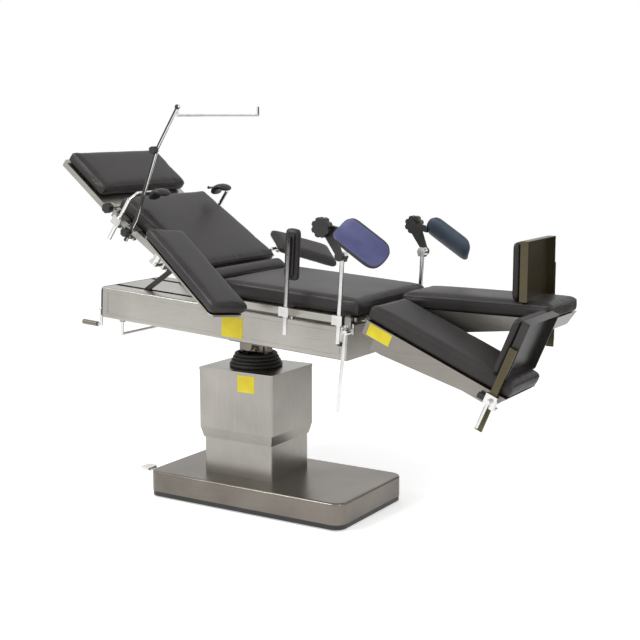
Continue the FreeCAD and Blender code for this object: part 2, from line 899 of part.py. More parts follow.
def link_ears(side, tray_low):
    pieces = []
    for wing in (-1, 1):
        y0 = side * link_y + wing * (link_half_width + 1)
        y1 = y0 + wing * link_ear_thickness
        eye = rod(12, Vector(-link_pin_reach, y0, -link_pin_drop),
                  Vector(-link_pin_reach, y1, -link_pin_drop))
        web = block(-link_pin_reach - 12, -link_pin_reach + 12, y0, y1, -link_pin_drop, tray_low)
        pieces += [eye, web]
    hole = rod(link_pin_radius + running_clearance,
               Vector(-link_pin_reach, side * link_y - 30, -link_pin_drop),
               Vector(-link_pin_reach, side * link_y + 30, -link_pin_drop))
    return fuse(pieces).cut(hole)


def head_ears(side, tray_low, tray_top):
    y1 = side * (head_arm_y - hinge_side_gap)
    y0 = y1 - side * 10
    centre_x = -head_pivot_reach
    centre_z = -head_pivot_drop
    eye = rod(14, Vector(centre_x, y0, centre_z), Vector(centre_x, y1, centre_z))
    web = plate_outline([(centre_x + 4, centre_z + 13), (-back_length + 20, tray_top),
                         (-back_length + 60, tray_top), (-back_length + 60, tray_low),
                         (centre_x + 4, centre_z - 13)], y0, y1)
    hole = rod(head_pin_radius + running_clearance, Vector(centre_x, y0 - 20 * side, centre_z),
               Vector(centre_x, y1 + 20 * side, centre_z))
    return fuse([eye, web]).cut(hole)


def back_hinge_pins():
    pins = []
    for side in (-1, 1):
        y0 = side * (table_half_width + hinge_side_gap)
        y1 = side * (table_half_width + 2 * hinge_side_gap + 2 * hinge_ear_thickness)
        pins.append(rod(hinge_pin_radius, Vector(0, y0, 0), Vector(0, y1 + side * 4, 0)))
        pins.append(rod(hinge_pin_radius + 5, Vector(0, y1, 0), Vector(0, y1 + side * 5, 0)))
    return placed(Part.makeCompound([fuse(pins[:2]), fuse(pins[2:])]), BACK)


def back_cushion():
    start = section_gap + kidney_length + kidney_gap
    solid = cushion(-back_length, -start, -table_half_width, table_half_width, pivot_depth,
                    cushion_thickness)
    return placed(solid, BACK)


def back_rail(side):
    last = near_standoff_reach if side < 0 else far_standoff_reach
    solid = rail(-back_length + 18, -ear_root_end - 40, side, (-back_length + 20, -300.0, -last))
    return placed(solid, BACK)


def kidney_bridge():
    plate_top = pivot_depth - cushion_thickness
    x0 = -section_gap - kidney_length + 2
    x1 = -section_gap - 2
    half = table_half_width - 10
    plate = block(x0, x1, -half, half, plate_top - tray_thickness + 2, plate_top)
    pieces = [plate]
    middle = (x0 + x1) / 2
    for side in (-1, 1):
        top = Vector(middle, side * kidney_post_y, plate_top - 2)
        low = Vector(middle, side * kidney_post_y, plate_top - tray_thickness - kidney_post_length)
        post = rod(kidney_post_radius, low, top)
        pieces.append(post)
    return placed(fuse(pieces), BACK)


def kidney_cushion():
    solid = cushion(-section_gap - kidney_length, -section_gap, -table_half_width + 2,
                    table_half_width - 2, pivot_depth, cushion_thickness)
    return placed(solid, BACK)


def push_link_frame():
    place = Placement(Vector(-link_pin_reach, 0, -link_pin_drop), turn_y(-back_angle))
    return BACK.multiply(place).multiply(Placement(Vector(0, 0, 0), turn_y(-link_angle)))


def push_links():
    # Drawn along -X from the upper pin, then turned down to the rest angle
    pieces = []
    for side in (-1, 1):
        y = side * link_y
        y0 = y - link_half_width
        y1 = y + link_half_width
        bar = block(-link_length, 0, y0, y1, -link_half_height, link_half_height)
        upper = rod(11, Vector(0, y0, 0), Vector(0, y1, 0))
        lower = rod(10, Vector(-link_length, y0, 0), Vector(-link_length, y1, 0))
        pin = rod(link_pin_radius, Vector(0, y0 - 9, 0), Vector(0, y1 + 9, 0))
        pieces += [bar, upper, lower, pin]
    cross = rod(6, Vector(-link_length, -link_y, 0), Vector(-link_length, link_y, 0))
    return placed(fuse(pieces + [cross]), push_link_frame())


# Head section, drawn flat with its pivot at the origin

def head_frame():
    top = head_top - head_cushion_thickness
    low = top - head_tray_depth
    x0 = -head_cushion_start - head_cushion_length - 2
    x1 = -12.0
    half = table_half_width + 2
    tray = rounded_block(x0, x1, -half, half, low, top, 14)
    pocket = block(x0 + 30, x1 - 30, -half + 30, half - 30, low - 1, top - 4)
    tray = tray.cut(pocket)
    pieces = [tray]
    notches = []
    for side in (-1, 1):
        y0 = side * head_arm_y
        y1 = y0 + side * head_arm_thickness
        pieces.append(rod(13, Vector(0, y0, 0), Vector(0, y1, 0)))
        pieces.append(plate_outline([(2, 12.5), (-40, top), (-40, low), (2, -12.5)], y0, y1))
        notches.append(block(-26, 26, side * (head_arm_y - 15), y0, -40, 40))
    frame = fuse(pieces)
    for notch in notches:
        frame = frame.cut(notch)
    for side in (-1, 1):
        frame = frame.cut(rod(head_pin_radius, Vector(0, side * 190, 0), Vector(0, side * 240, 0)))
    return placed(frame, HEAD)


def head_hinge_pins():
    pins = []
    for side in (-1, 1):
        y0 = side * (head_arm_y - 12)
        y1 = side * (table_half_width + 6)
        pins.append(rod(head_pin_radius, Vector(0, y0, 0), Vector(0, y1, 0)))
    return placed(Part.makeCompound(pins), HEAD)


def head_knobs():
    shapes = []
    for side in (-1, 1):
        start = Vector(0, side * (table_half_width + 6), 0)
        shapes.append(knob(head_knob_radius, head_knob_length, start, Vector(0, side, 0)))
    return placed(Part.makeCompound(shapes), HEAD)


def head_cushion():
    solid = cushion(-head_cushion_start - head_cushion_length, -head_cushion_start,
                    -table_half_width, table_half_width, head_top, head_cushion_thickness)
    return placed(solid, HEAD)


# Leg sections, drawn flat with the fold pivot at the origin and the foot towards +X

def leg_span(side):
    inner = side * leg_split_gap / 2
    outer = side * table_half_width
    return inner, outer


def swing_pin_place(side):
    y = side * (table_half_width - swing_pivot_inset)
    return swing_pivot_reach, y


def leg_hinge_block(side, frame):
    # The block folds on the seat's knuckles and carries the upright pin that the leg swings on
    inner, outer = leg_span(side)
    top = leg_pivot_depth - leg_cushion_thickness - leg_frame_depth - 1
    low = top - hinge_block_height
    x, y = swing_pin_place(side)
    pieces = [block(14, swing_pivot_reach + 22, inner + side * 14, outer - side * 14, low, top)]
    pin_top = leg_pivot_depth - leg_cushion_thickness - 7
    pieces.append(rod(swing_pin_radius, Vector(x, y, low), Vector(x, y, pin_top)))
    for place in leg_ear_places():
        if place * side > 0:
            reach = wing_reach()
            pieces.append(rod(hinge_pin_radius, Vector(0, place - reach - 1, 0),
                              Vector(0, place + reach + 1, 0)))
            for wing in (-1, 1):
                y0 = place + wing * (leg_knuckle_half + wing_gap)
                y1 = y0 + wing * wing_thickness
                pieces.append(rod(wing_radius, Vector(0, y0, 0), Vector(0, y1, 0)))
                points = [(4, 11), (wing_radius, 3), (14, top + 4), (18, top), (24, top), (24, low), (14, low),
                          (5, top + 6), (-9, -7.5)]
                pieces.append(plate_outline(points, y0, y1))
    return placed(fuse(pieces), frame)


def leg_frame(side, frame):
    inner, outer = leg_span(side)
    top = leg_pivot_depth - leg_cushion_thickness
    low = top - leg_frame_depth
    y0 = min(inner + side * 4, outer)
    y1 = max(inner + side * 4, outer)
    outline = [(leg_frame_start, top), (leg_frame_end + leg_slant * 0.5, top),
               (leg_frame_end - 6, low), (leg_frame_start, low)]
    solid = plate_outline(outline, y0, y1)
    sheet = leg_frame_sheet
    pocket = block(leg_frame_start + 68, leg_frame_end - 44, y0 + sheet, y1 - sheet, low - 1,
                   top - sheet)
    solid = solid.cut(pocket)
    deep = top - leg_panel_depth
    taper = [(leg_panel_start, top - sheet), (leg_panel_start, deep),
             (leg_panel_start + leg_panel_flat, deep), (leg_panel_end, low), (leg_panel_end, top - sheet)]
    solid = fuse([solid, plate_outline(taper, y0, y0 + sheet), plate_outline(taper, y1 - sheet, y1)])
    x, y = swing_pin_place(side)
    hole = rod(swing_pin_radius + running_clearance, Vector(x, y, low - 1), Vector(x, y, top - 5))
    return placed(solid.cut(hole), frame)


def leg_cushion(side, frame):
    inner, outer = leg_span(side)
    solid = cushion(leg_cushion_start, leg_length, min(inner, outer), max(inner, outer),
                    leg_pivot_depth, leg_cushion_thickness)
    return placed(solid, frame)


# Foot boards, in the leg's own coordinates

def board_reach(side):
    setback = near_board_setback if side < 0 else far_board_setback
    return leg_length - setback


def foot_board_cushion(side, frame):
    inner, outer = leg_span(side)
    x1 = board_reach(side)
    low = leg_pivot_depth + 1
    solid = block(x1 - board_cushion_thickness, x1, inner + side * 2, outer - side * 2, low,
                  low + board_height)
    solid = solid.makeFillet(cushion_round, solid.Edges)
    return placed(solid, frame)


def foot_board_plate(side, frame):
    inner, outer = leg_span(side)
    x0 = board_reach(side)
    low = leg_pivot_depth + 1
    high = low + board_height + 2
    sheet = board_plate_thickness
    plate = block(x0, x0 + board_plate_depth, inner + side * 2, outer - side * 2, low, high)
    tray = block(x0 + sheet, x0 + board_plate_depth + 1, inner + side * (2 + sheet),
                 outer - side * (2 + sheet), low + sheet, high - sheet)
    plate = plate.cut(tray)
    post_y0 = outer + side * 4
    post_y1 = post_y0 + side * board_post_thickness
    post = block(x0, x0 + board_post_width, post_y0, post_y1, leg_pivot_depth - board_post_drop,
                 low + board_height * 0.55)
    bridge = block(x0, x0 + board_plate_thickness, outer - side * 4, post_y1, low + 14,
                   low + board_height * 0.5)
    return placed(fuse([plate, post, bridge]), frame)


def foot_board_clamp(side, frame):
    inner, outer = leg_span(side)
    x0 = board_reach(side)
    top = leg_pivot_depth - leg_cushion_thickness - 4
    low = top - board_clamp_size
    gap = clamp_gap
    post_y0 = outer + side * 4
    post_y1 = post_y0 + side * board_post_thickness
    body = block(x0 - 8, x0 + board_post_width + 8, outer + side * 0.5, post_y1 + side * 9, low, top)
    slot = block(x0 - gap, x0 + board_post_width + gap, post_y0 - side * gap, post_y1 + side * gap,
                 low - 1, top + 1)
    hook = block(x0 - 8, x0 + board_post_width + 8, outer - side * 26, outer + side * 3.5, low - 7, low)
    return placed(fuse([body.cut(slot), hook]), frame)


def foot_board_lever(side, frame):
    outer = side * table_half_width
    x0 = board_reach(side) + board_post_width / 2
    z = leg_pivot_depth - leg_cushion_thickness - 4 - board_clamp_size / 2
    y0 = outer + side * (4 + board_post_thickness + 9)
    hub_end = Vector(x0, y0 + side * 16, z)
    hub = rod(9, Vector(x0, y0, z), hub_end)
    start = Vector(x0, y0 + side * 10, z)
    end = Vector(x0, y0 + side * 16, z - board_lever_length)
    lever = bent_rod(board_lever_radius, [start, end])
    return placed(fuse([hub, lever, ball(board_lever_radius, end)]), frame)


def foot_board_knob(side, frame):
    outer = side * table_half_width
    x0 = board_reach(side) - 8
    z = leg_pivot_depth - leg_cushion_thickness - 4 - board_clamp_size / 2
    y = outer + side * (8 + board_post_thickness / 2)
    return placed(knob(board_knob_radius, 26, Vector(x0, y, z), Vector(-1, 0, 0)), frame)


def leg_lock_lever(side):
    # A long lever hangs outside the seat rail beside the leg hinge
    lever_x = leg_pivot_x - leg_lever_setback
    y0 = side * (table_half_width + tray_side_inset)
    y1 = side * (table_half_width + rail_standoff + rail_thickness + 20)
    z = cushion_top - cushion_thickness - tray_thickness - rail_height - 12
    tray_low = cushion_top - cushion_thickness - tray_thickness
    hub = rod(9, Vector(lever_x, y0, z), Vector(lever_x, y1, z))
    plate = block(lever_x - 16, lever_x + 14, y0, y0 + side * 5, z - 10,
                  tray_low + tray_thickness)
    start = Vector(lever_x, y1 - side * 4, z)
    end = Vector(lever_x - 6, y1 + side * 8, z - leg_lever_length)
    bar = bent_rod(leg_lever_radius, [start, end])
    return placed(fuse([hub, plate, bar, ball(leg_lever_radius, end)]), TABLE)


# Clamps that hook over a rail. Drawn at x = 0 with the rail datum at z = 0

def rail_clamp_solid(side):
    gap = clamp_gap
    inner = side * (table_half_width + rail_standoff)
    outer = inner + side * rail_thickness
    low = -rail_drop - rail_height
    top = -rail_drop
    half = clamp_length / 2
    body = block(-half, half, inner - side * clamp_wall * 0.8, outer + side * (post_offset + 16),
                 low - clamp_wall, top + clamp_height_above)
    channel = block(-half - 1, half + 1, inner - side * gap, outer, low - gap, top)
    mouth = block(-half - 1, half + 1, inner - side * clamp_wall, inner + side * 5,
                  low - clamp_wall - 1, low + 6)
    trim = block(-half - 1, half + 1, outer + side * 12, outer + side * (post_offset + 17),
                 low - clamp_wall - 1, low + 2)
    return body.cut(channel).cut(mouth).cut(trim)


def post_y(side):
    return side * (table_half_width + rail_standoff + rail_thickness + post_offset)


def rail_clamp(side):
    solid = rail_clamp_solid(side)
    y = post_y(side)
    hole = rod(post_radius + running_clearance, Vector(0, y, -200), Vector(0, y, 200))
    return solid.cut(hole)


def clamp_screw(side):
    # The screw rises under the rail and ends in a grooved knob
    y = side * (table_half_width + rail_standoff + rail_thickness)
    top = -rail_drop - rail_height - clamp_wall
    low = top - t_screw_drop
    stem = rod(5, Vector(0, y, low), Vector(0, y, top))
    return stem, knob(knob_radius, knob_length * 0.6, Vector(0, y, low), Vector(0, 0, -1))


def on_table_rail(x):
    return TABLE.multiply(Placement(Vector(x, 0, pivot_z), Rotation()))


def on_back_rail(x):
    return BACK.multiply(Placement(Vector(-x, 0, 0), Rotation()))


def crutch_x(side):
    return near_crutch_x if side < 0 else far_crutch_x


def crutch_clamp(side):
    stem, grip = clamp_screw(side)
    return placed(fuse([rail_clamp(side), stem]), on_table_rail(crutch_x(side)))


def crutch_clamp_knob(side):
    stem, grip = clamp_screw(side)
    return placed(grip, on_table_rail(crutch_x(side)))


def crutch_above(side):
    return near_crutch_above if side < 0 else far_crutch_above


def crutch_post(side):
    y = post_y(side)
    top = crutch_above(side)
    post = rod(post_radius, Vector(0, y, -crutch_post_below), Vector(0, y, top))
    head = block(-13, 13, y - 12, y + 12, top - 8, top + 22)
    pivot_height = top + 10
    cheek = rod(crutch_joint_radius, Vector(0, y - 12, pivot_height), Vector(0, y + 12, pivot_height))
    return placed(fuse([post, head, cheek]), on_table_rail(crutch_x(side)))


def crutch_pivot(side):
    return Vector(0, post_y(side) + side * 12, crutch_above(side) + 10)


def crutch_arm(side):
    # A dark casting beside the post top, with a large disc knob's seat and the trough bracket
    pivot = crutch_pivot(side)
    y0 = pivot.y + side * 0.4
    y1 = y0 + side * 14
    disc_x = -crutch_arm_back
    disc_z = pivot.z + crutch_arm_rise * 0.92
    eye = rod(16, Vector(0, y0, pivot.z), Vector(0, y1, pivot.z))
    head = rod(20, Vector(disc_x, y0, disc_z), Vector(disc_x, y1, disc_z))
    web = plate_outline([(-14, pivot.z + 6), (14, pivot.z - 4), (disc_x + 34, disc_z + 4),
                         (disc_x + 4, disc_z + 16), (disc_x - 18, disc_z - 4)], y0, y1)
    reach = plate_outline([(disc_x, disc_z + 12), (disc_x, disc_z - 12), (6, disc_z - 22),
                           (6, disc_z + 2)], y0, y1)
    return placed(fuse([eye, head, web, reach]), on_table_rail(crutch_x(side)))


def crutch_disc(side):
    pivot = crutch_pivot(side)
    y0 = pivot.y + side * 14.4
    centre = Vector(-crutch_arm_back, y0, pivot.z + crutch_arm_rise * 0.92)
    disc = knob(crutch_disc_radius, crutch_disc_thickness, centre, Vector(0, side, 0), 8)
    return placed(disc, on_table_rail(crutch_x(side)))


def trough_shell(outer, inner):
    # A gutter about the X axis that opens upwards
    wedge_half = trough_span / 2
    full = Part.makeCylinder(outer, trough_length, Vector(0, 0, 0), AXIS_X, trough_span)
    core = Part.makeCylinder(inner, trough_length, Vector(0, 0, 0), AXIS_X, trough_span)
    sector = full.cut(core)
    sector.rotate(Vector(0, 0, 0), AXIS_X, 0)
    box = sector.BoundBox
    centre_y = (box.YMin + box.YMax) / 2
    centre_z = (box.ZMin + box.ZMax) / 2
    lean = math.degrees(math.atan2(centre_z, centre_y))
    sector.rotate(Vector(0, 0, 0), AXIS_X, -90 - lean)
    return sector


def crutch_trough_place(side):
    pivot = crutch_pivot(side)
    y = pivot.y + side * 4
    start = Vector(-8, y, pivot.z + crutch_arm_rise * 0.9)
    roll = Rotation(AXIS_X, -side * trough_roll)
    return Placement(start, turn_y(trough_slope).multiply(roll))


def crutch_trough(side):
    shell = trough_shell(trough_radius, trough_radius - trough_thickness)
    shell.translate(Vector(0, 0, trough_radius + 2))
    placed_shell = placed(shell, crutch_trough_place(side))
    return placed(placed_shell, on_table_rail(crutch_x(side)))


# Lateral supports

def near_support_clamp():
    return placed(rail_clamp(-1), on_table_rail(near_support_x))


def support_plate_face():
    return post_y(-1) + post_radius + support_plate_thickness


def near_support_post():
    y = post_y(-1)
    plate_low = support_rise + support_plate_inset
    plate_top = support_rise + support_pad_height - support_plate_inset
    post = rod(post_radius, Vector(0, y, -crutch_post_below), Vector(0, y, plate_top - 10))
    half = support_plate_width / 2
    face = support_plate_face()
    plate = block(-half, half, face - support_plate_thickness - 2, face, plate_low, plate_top)
    return placed(fuse([post, plate]), on_table_rail(near_support_x))


def near_support_pad():
    y0 = support_plate_face() + seat_clearance
    half = support_pad_width / 2
    pad = block(-half, half, y0, y0 + support_pad_thickness, support_rise,
                support_rise + support_pad_height)
    pad = pad.makeFillet(cushion_round, pad.Edges)
    return placed(pad, on_table_rail(near_support_x))


# Arm board on the near side and a smaller pad on the far side, both on the back rails

def near_arm_clamp():
    side = -1
    solid = rail_clamp_solid(side)
    outer = side * (table_half_width + rail_standoff + rail_thickness)
    pivot = arm_pivot_y()
    top = arm_board_top - arm_board_thickness - 8
    arm = block(-16, 16, outer + side * 2, pivot + side * 14, -rail_drop - 6, -rail_drop + 8)
    post = rod(15, Vector(0, pivot, -rail_drop - 6), Vector(0, pivot, top - 0.4))
    pin = rod(8, Vector(0, pivot, top - 2), Vector(0, pivot, top + 6))
    return placed(fuse([solid, arm, post, pin]), on_back_rail(arm_pivot_reach))


def arm_pivot_y():
    return -(table_half_width + rail_standoff + rail_thickness + arm_board_width / 2 - 12)


def arm_board_place():
    point = Vector(-arm_pivot_reach, arm_pivot_y(), 0)
    return BACK.multiply(Placement(point, Rotation(AXIS_Z, -near_arm_swing)))


def near_arm_plate():
    low = arm_board_top - arm_board_thickness - 8
    half = arm_board_width / 2
    plate = rounded_block(-arm_pivot_from_end + 8, arm_board_length - arm_pivot_from_end - 8,
                          -half + 8, half - 8, low, low + 8, 20)
    hole = rod(8 + running_clearance, Vector(0, 0, low - 1), Vector(0, 0, low + 9))
    return placed(plate.cut(hole), arm_board_place())


def near_arm_pad():
    half = arm_board_width / 2
    pad = cushion(-arm_pivot_from_end, arm_board_length - arm_pivot_from_end, -half, half,
                  arm_board_top, arm_board_thickness)
    return placed(pad, arm_board_place())


def far_pad_clamp():
    solid = rail_clamp(1)
    return placed(solid, on_back_rail(far_pad_reach))


def far_pad_bend():
    # The bend clears the clamp's top when the post is at its lowest
    return clamp_height_above - rail_drop + post_radius + far_pad_drop_travel + 1


def far_pad_post():
    y = post_y(1)
    out = y + far_pad_offset
    bend = far_pad_bend()
    post = bent_rod(post_radius, [Vector(0, y, -crutch_post_below), Vector(0, y, bend),
                                  Vector(0, out, bend)])
    socket = rod(15, Vector(0, out, bend - 12), Vector(0, out, bend + 12))
    pin = rod(8, Vector(0, out, bend), Vector(0, out, bend + 24))
    return placed(fuse([post, socket, pin]), on_back_rail(far_pad_reach))


def far_pad_place():
    turn = Placement(Vector(0, post_y(1) + far_pad_offset, 0), Rotation(AXIS_Z, far_pad_swing))
    return on_back_rail(far_pad_reach).multiply(turn)


def far_pad():
    half = far_pad_width / 2
    low = far_pad_bend() + 12.3
    pad = cushion(-40, far_pad_length - 40, -half, half, low + far_pad_thickness, far_pad_thickness)
    hole = rod(8 + running_clearance, Vector(0, 0, low - 1), Vector(0, 0, low + 12))
    return placed(pad.cut(hole), far_pad_place())


# Screen frame over the head end

def screen_clamp():
    return placed(rail_clamp(-1), on_back_rail(screen_reach))


def screen_knob():
    y = post_y(-1) - 16
    z = -rail_drop - 6
    return placed(knob(knob_radius, knob_length, Vector(0, y, z), Vector(0, -1, 0)),
                  on_back_rail(screen_reach))


def screen_points():
    y = post_y(-1)
    low = Vector(0, y, -78)
    bend = Vector(0, y, 20)
    lean = math.radians(screen_post_lean)
    top = bend + Vector(-math.sin(lean), 0, math.cos(lean)) * screen_post_length
    upper_lean = math.radians(screen_upper_lean)
    peak = top + Vector(-math.sin(upper_lean), 0, math.cos(upper_lean)) * screen_upper_length
    return low, bend, top, peak


def screen_post():
    low, bend, top, peak = screen_points()
    lower = bent_rod(post_radius, [low, bend, top])
    upper = rod(screen_rod_radius, top, peak)
    return placed(fuse([lower, upper, ball(post_radius + 2, top)]), on_back_rail(screen_reach))


def screen_bar():
    low, bend, top, peak = screen_points()
    down = BACK.Rotation.inverted().multVec(Vector(0, 0, -1))
    drop = peak + down * screen_bar_drop
    across = drop + Vector(0, screen_bar_length, 0)
    tip = across - down * screen_tip_rise
    radius = screen_rod_radius - 1.5
    bar = bent_rod(radius, [peak - down * 4, drop, across, tip])
    collar = ball(screen_rod_radius + 4, peak)
    return placed(fuse([bar, collar]), on_back_rail(screen_reach))


def screen_post_knob():
    low, bend, top, peak = screen_points()
    start = top + Vector(0, -post_radius + 2, 0)
    return placed(knob(knob_radius - 2, knob_length, start, Vector(0, -1, 0)),
                  on_back_rail(screen_reach))


# Shoulder supports

def shoulder_clamp(side):
    return placed(rail_clamp(side), on_back_rail(shoulder_reach))


def shoulder_rod(side):
    y = post_y(side)
    low = Vector(0, y, -crutch_post_below)
    rise = Vector(0, y, shoulder_rise + 6)
    turn = Vector(0, y - side * 30, shoulder_rise + 34)
    inward = Vector(0, y - side * (post_offset + 30 + shoulder_in), shoulder_rise + 34)
    solid = rod(post_radius, low, rise)
    upper = bent_rod(shoulder_rod_radius, [rise, turn, inward])
    return placed(fuse([solid, upper]), on_back_rail(shoulder_reach))


def arc_shell(outer, inner, width, span):
    # A padded arc about the Y axis whose middle points towards -X
    ring = Part.makeCylinder(outer, width, Vector(0, -width / 2, 0), AXIS_Y, span)
    core = Part.makeCylinder(inner, width, Vector(0, -width / 2, 0), AXIS_Y, span)
    arc = largest(ring.cut(core))
    centre = arc.CenterOfMass
    heading = math.degrees(math.atan2(-centre.z, centre.x))
    arc.rotate(Vector(0, 0, 0), AXIS_Y, 180 - heading)
    return arc


def shoulder_pad(side):
    # It rests on the rod's inner end and curls up over the shoulder
    y = post_y(side) - side * (post_offset + 30 + shoulder_in - shoulder_pad_width / 2)
    inner = shoulder_pad_radius - shoulder_pad_thickness
    arc = arc_shell(shoulder_pad_radius, inner, shoulder_pad_width, shoulder_pad_span)
    arc.rotate(Vector(0, 0, 0), AXIS_Y, shoulder_pad_tip)
    reach = shoulder_rod_radius + shoulder_pad_radius
    arc.translate(Vector(reach, y, shoulder_rise + 34))
    return placed(arc, on_back_rail(shoulder_reach))


def largest(shape):
    return max(shape.Solids, key=lambda solid: solid.Volume)


def crutch_arm_with_disc(side):
    whole = fuse([crutch_arm(side), crutch_disc(side)])
    return largest(whole.cut(crutch_trough(side)))


def back_clamps():
    return Part.makeCompound([near_arm_clamp(), fuse([screen_clamp(), screen_knob()]),
                              shoulder_clamp(-1), far_pad_clamp(), shoulder_clamp(1)])


def seat_clamps():
    return Part.makeCompound([near_support_clamp(), fuse([crutch_clamp(-1), crutch_clamp_knob(-1)]),
                              fuse([crutch_clamp(1), crutch_clamp_knob(1)])])


def column_nodes():
    return {
        "base_feet": base_feet(),
        "base_chassis": fuse([base_chassis(), pump_block(), pedal_bracket()]),
        "base_cover": base_cover(),
        "pump_pedal": pump_pedal(),
        "lower_shroud": lower_shroud(),
        "upper_shroud": upper_shroud(),
        "lift_cylinder": lift_cylinder(),
        "lift_ram": lift_ram(),
        "tilt_pedestal": tilt_pedestal(),
        "tilt_cross": tilt_cross(),
        "bellows": bellows(),
    }


def frame_nodes():
    return {
        "tilt_saddle": tilt_saddle(),
        "main_frame": main_frame(),
        "frame_end_cap": frame_end_cap(),
        "head_crank": fuse([head_crank(), crank_grip()]),
        "lock_lever": lock_lever(),
        "seat_frame": seat_frame(),
        "seat_cushion": seat_cushion(),
        "seat_rails": Part.makeCompound([seat_rail(-1), seat_rail(1)]),
        "seat_clamps": seat_clamps(),
        "leg_lock_lever": leg_lock_lever(-1),
    }


def back_nodes():
    return {
        "back_frame": fuse([back_frame(), back_hinge_pins()]),
        "back_cushion": back_cushion(),
        "back_rails": Part.makeCompound([back_rail(-1), back_rail(1)]),
        "back_clamps": back_clamps(),
        "kidney_bridge": kidney_bridge(),
        "kidney_cushion": kidney_cushion(),
        "push_links": push_links(),
        "head_frame": fuse([head_frame(), head_hinge_pins(), head_knobs()]),
        "head_cushion": head_cushion(),
    }


def accessory_nodes():
    return {
        "near_arm_plate": near_arm_plate(),
        "near_arm_pad": near_arm_pad(),
        "far_arm_post": far_pad_post(),
        "far_arm_pad": far_pad(),
        "near_support_post": near_support_post(),
        "near_support_pad": near_support_pad(),
        "screen_frame": fuse([screen_post(), screen_bar(), screen_post_knob()]),
    }


def side_nodes(name, side, frame):
    return {
        name + "_leg_hinge": leg_hinge_block(side, frame),
        name + "_leg_frame": leg_frame(side, frame),
        name + "_leg_cushion": leg_cushion(side, frame),
        name + "_board_plate": foot_board_plate(side, frame),
        name + "_board_cushion": foot_board_cushion(side, frame),
        name + "_board_clamp": fuse([foot_board_clamp(side, frame), foot_board_knob(side, frame),
                                     foot_board_lever(side, frame)]),
        name + "_crutch_post": crutch_post(side),
        name + "_crutch_arm": crutch_arm_with_disc(side),
        name + "_crutch_trough": crutch_trough(side),
        name + "_shoulder_rod": shoulder_rod(side),
        name + "_shoulder_pad": shoulder_pad(side),
    }


def build_all():
    nodes = {}
    nodes.update(column_nodes())
    nodes.update(frame_nodes())
    nodes.update(back_nodes())
    nodes.update(accessory_nodes())
    nodes.update(side_nodes("near", -1, NEAR_LEG))
    nodes.update(side_nodes("far", 1, FAR_LEG))
    return nodes


def export_all(nodes):
    os.makedirs("parts", exist_ok=True)
    for name, shape in nodes.items():
        shape.exportStep("parts/" + name + ".step")
        print(name, shape.isValid(), len(shape.Solids))


export_all(build_all())
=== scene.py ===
# %% [markdown]
# An operating table, dressed for a studio picture. The solid model gives every hard piece its shape
# and place. This script adds what a solid model lacks: stitched vinyl cushions, brushed and polished
# metal, small plates, light and a camera. Everything is in metres.

# %% Load the solid model
import bmesh
import bpy
import math
from mathutils import Matrix, Vector
from mathutils.bvhtree import BVHTree


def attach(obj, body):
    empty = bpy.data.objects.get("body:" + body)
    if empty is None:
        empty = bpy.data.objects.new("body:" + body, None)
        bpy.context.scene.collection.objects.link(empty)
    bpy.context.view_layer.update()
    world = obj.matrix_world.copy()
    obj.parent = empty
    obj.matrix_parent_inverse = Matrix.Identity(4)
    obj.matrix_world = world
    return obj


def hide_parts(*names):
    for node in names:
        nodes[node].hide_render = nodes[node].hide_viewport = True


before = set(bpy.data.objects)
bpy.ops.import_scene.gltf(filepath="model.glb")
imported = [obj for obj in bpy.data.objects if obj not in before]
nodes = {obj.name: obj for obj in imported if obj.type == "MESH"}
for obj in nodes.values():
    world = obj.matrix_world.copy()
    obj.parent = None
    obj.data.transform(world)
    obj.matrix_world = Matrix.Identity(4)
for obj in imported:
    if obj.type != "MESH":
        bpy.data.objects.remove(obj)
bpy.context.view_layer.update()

# %% [markdown]
# The camera comes first, because every later choice is judged through it. Its place, direction and
# lens were fitted to the long straight edges of the photograph, which fix the perspective.

# %% Camera
CAMERA_TARGET = Vector((0.204, 0.0, 0.718))
CAMERA_DISTANCE = 4.72
CAMERA_AZIMUTH = 31.6
CAMERA_ELEVATION = 9.13
CAMERA_LENS_MM = 71.3


def aim(thing, place, target):
    thing.location = place
    thing.rotation_euler = (target - place).to_track_quat("-Z", "Y").to_euler()


azimuth = math.radians(CAMERA_AZIMUTH)
elevation = math.radians(CAMERA_ELEVATION)
back = Vector((math.sin(azimuth) * math.cos(elevation),
               -math.cos(azimuth) * math.cos(elevation), math.sin(elevation)))
camera_data = bpy.data.cameras.new("camera")
camera_data.lens = CAMERA_LENS_MM
camera = bpy.data.objects.new("camera", camera_data)
bpy.context.scene.collection.objects.link(camera)
aim(camera, CAMERA_TARGET + back * CAMERA_DISTANCE, CAMERA_TARGET)
bpy.context.scene.camera = camera
print("camera at", tuple(round(c, 2) for c in camera.location))

# %% [markdown]
# Materials are small networks of nodes. One helper adds a node with its settings and its links, and
# another turns a web colour into the linear light values that the renderer works in.

# %% Material helpers


def linear(web_colour):
    values = [int(web_colour[i:i + 2], 16) / 255 for i in (1, 3, 5)]
    curve = [v / 12.92 if v <= 0.04045 else ((v + 0.055) / 1.055) ** 2.4 for v in values]
    return (*curve, 1.0)


def add(tree, kind, settings=None, **links):
    node = tree.nodes.new(kind)
    for key, value in (settings or {}).items():
        if key in node.inputs:
            node.inputs[key].default_value = value
        else:
            setattr(node, key, value)
    for key, source in links.items():
        socket = node.inputs[key.replace("_", " ")]
        tree.links.new(source, socket)
    return node


def new_material(name):
    material = bpy.data.materials.new(name)
    material.use_nodes = True
    tree = material.node_tree
    shader = tree.nodes["Principled BSDF"]
    return material, tree, shader


def colour_ramp(tree, factor, low, high, start=0.3, end=0.7):
    ramp = add(tree, "ShaderNodeValToRGB", Fac=factor)
    ramp.color_ramp.elements[0].position = start
    ramp.color_ramp.elements[1].position = end
    ramp.color_ramp.elements[0].color = linear(low)
    ramp.color_ramp.elements[1].color = linear(high)
    return ramp


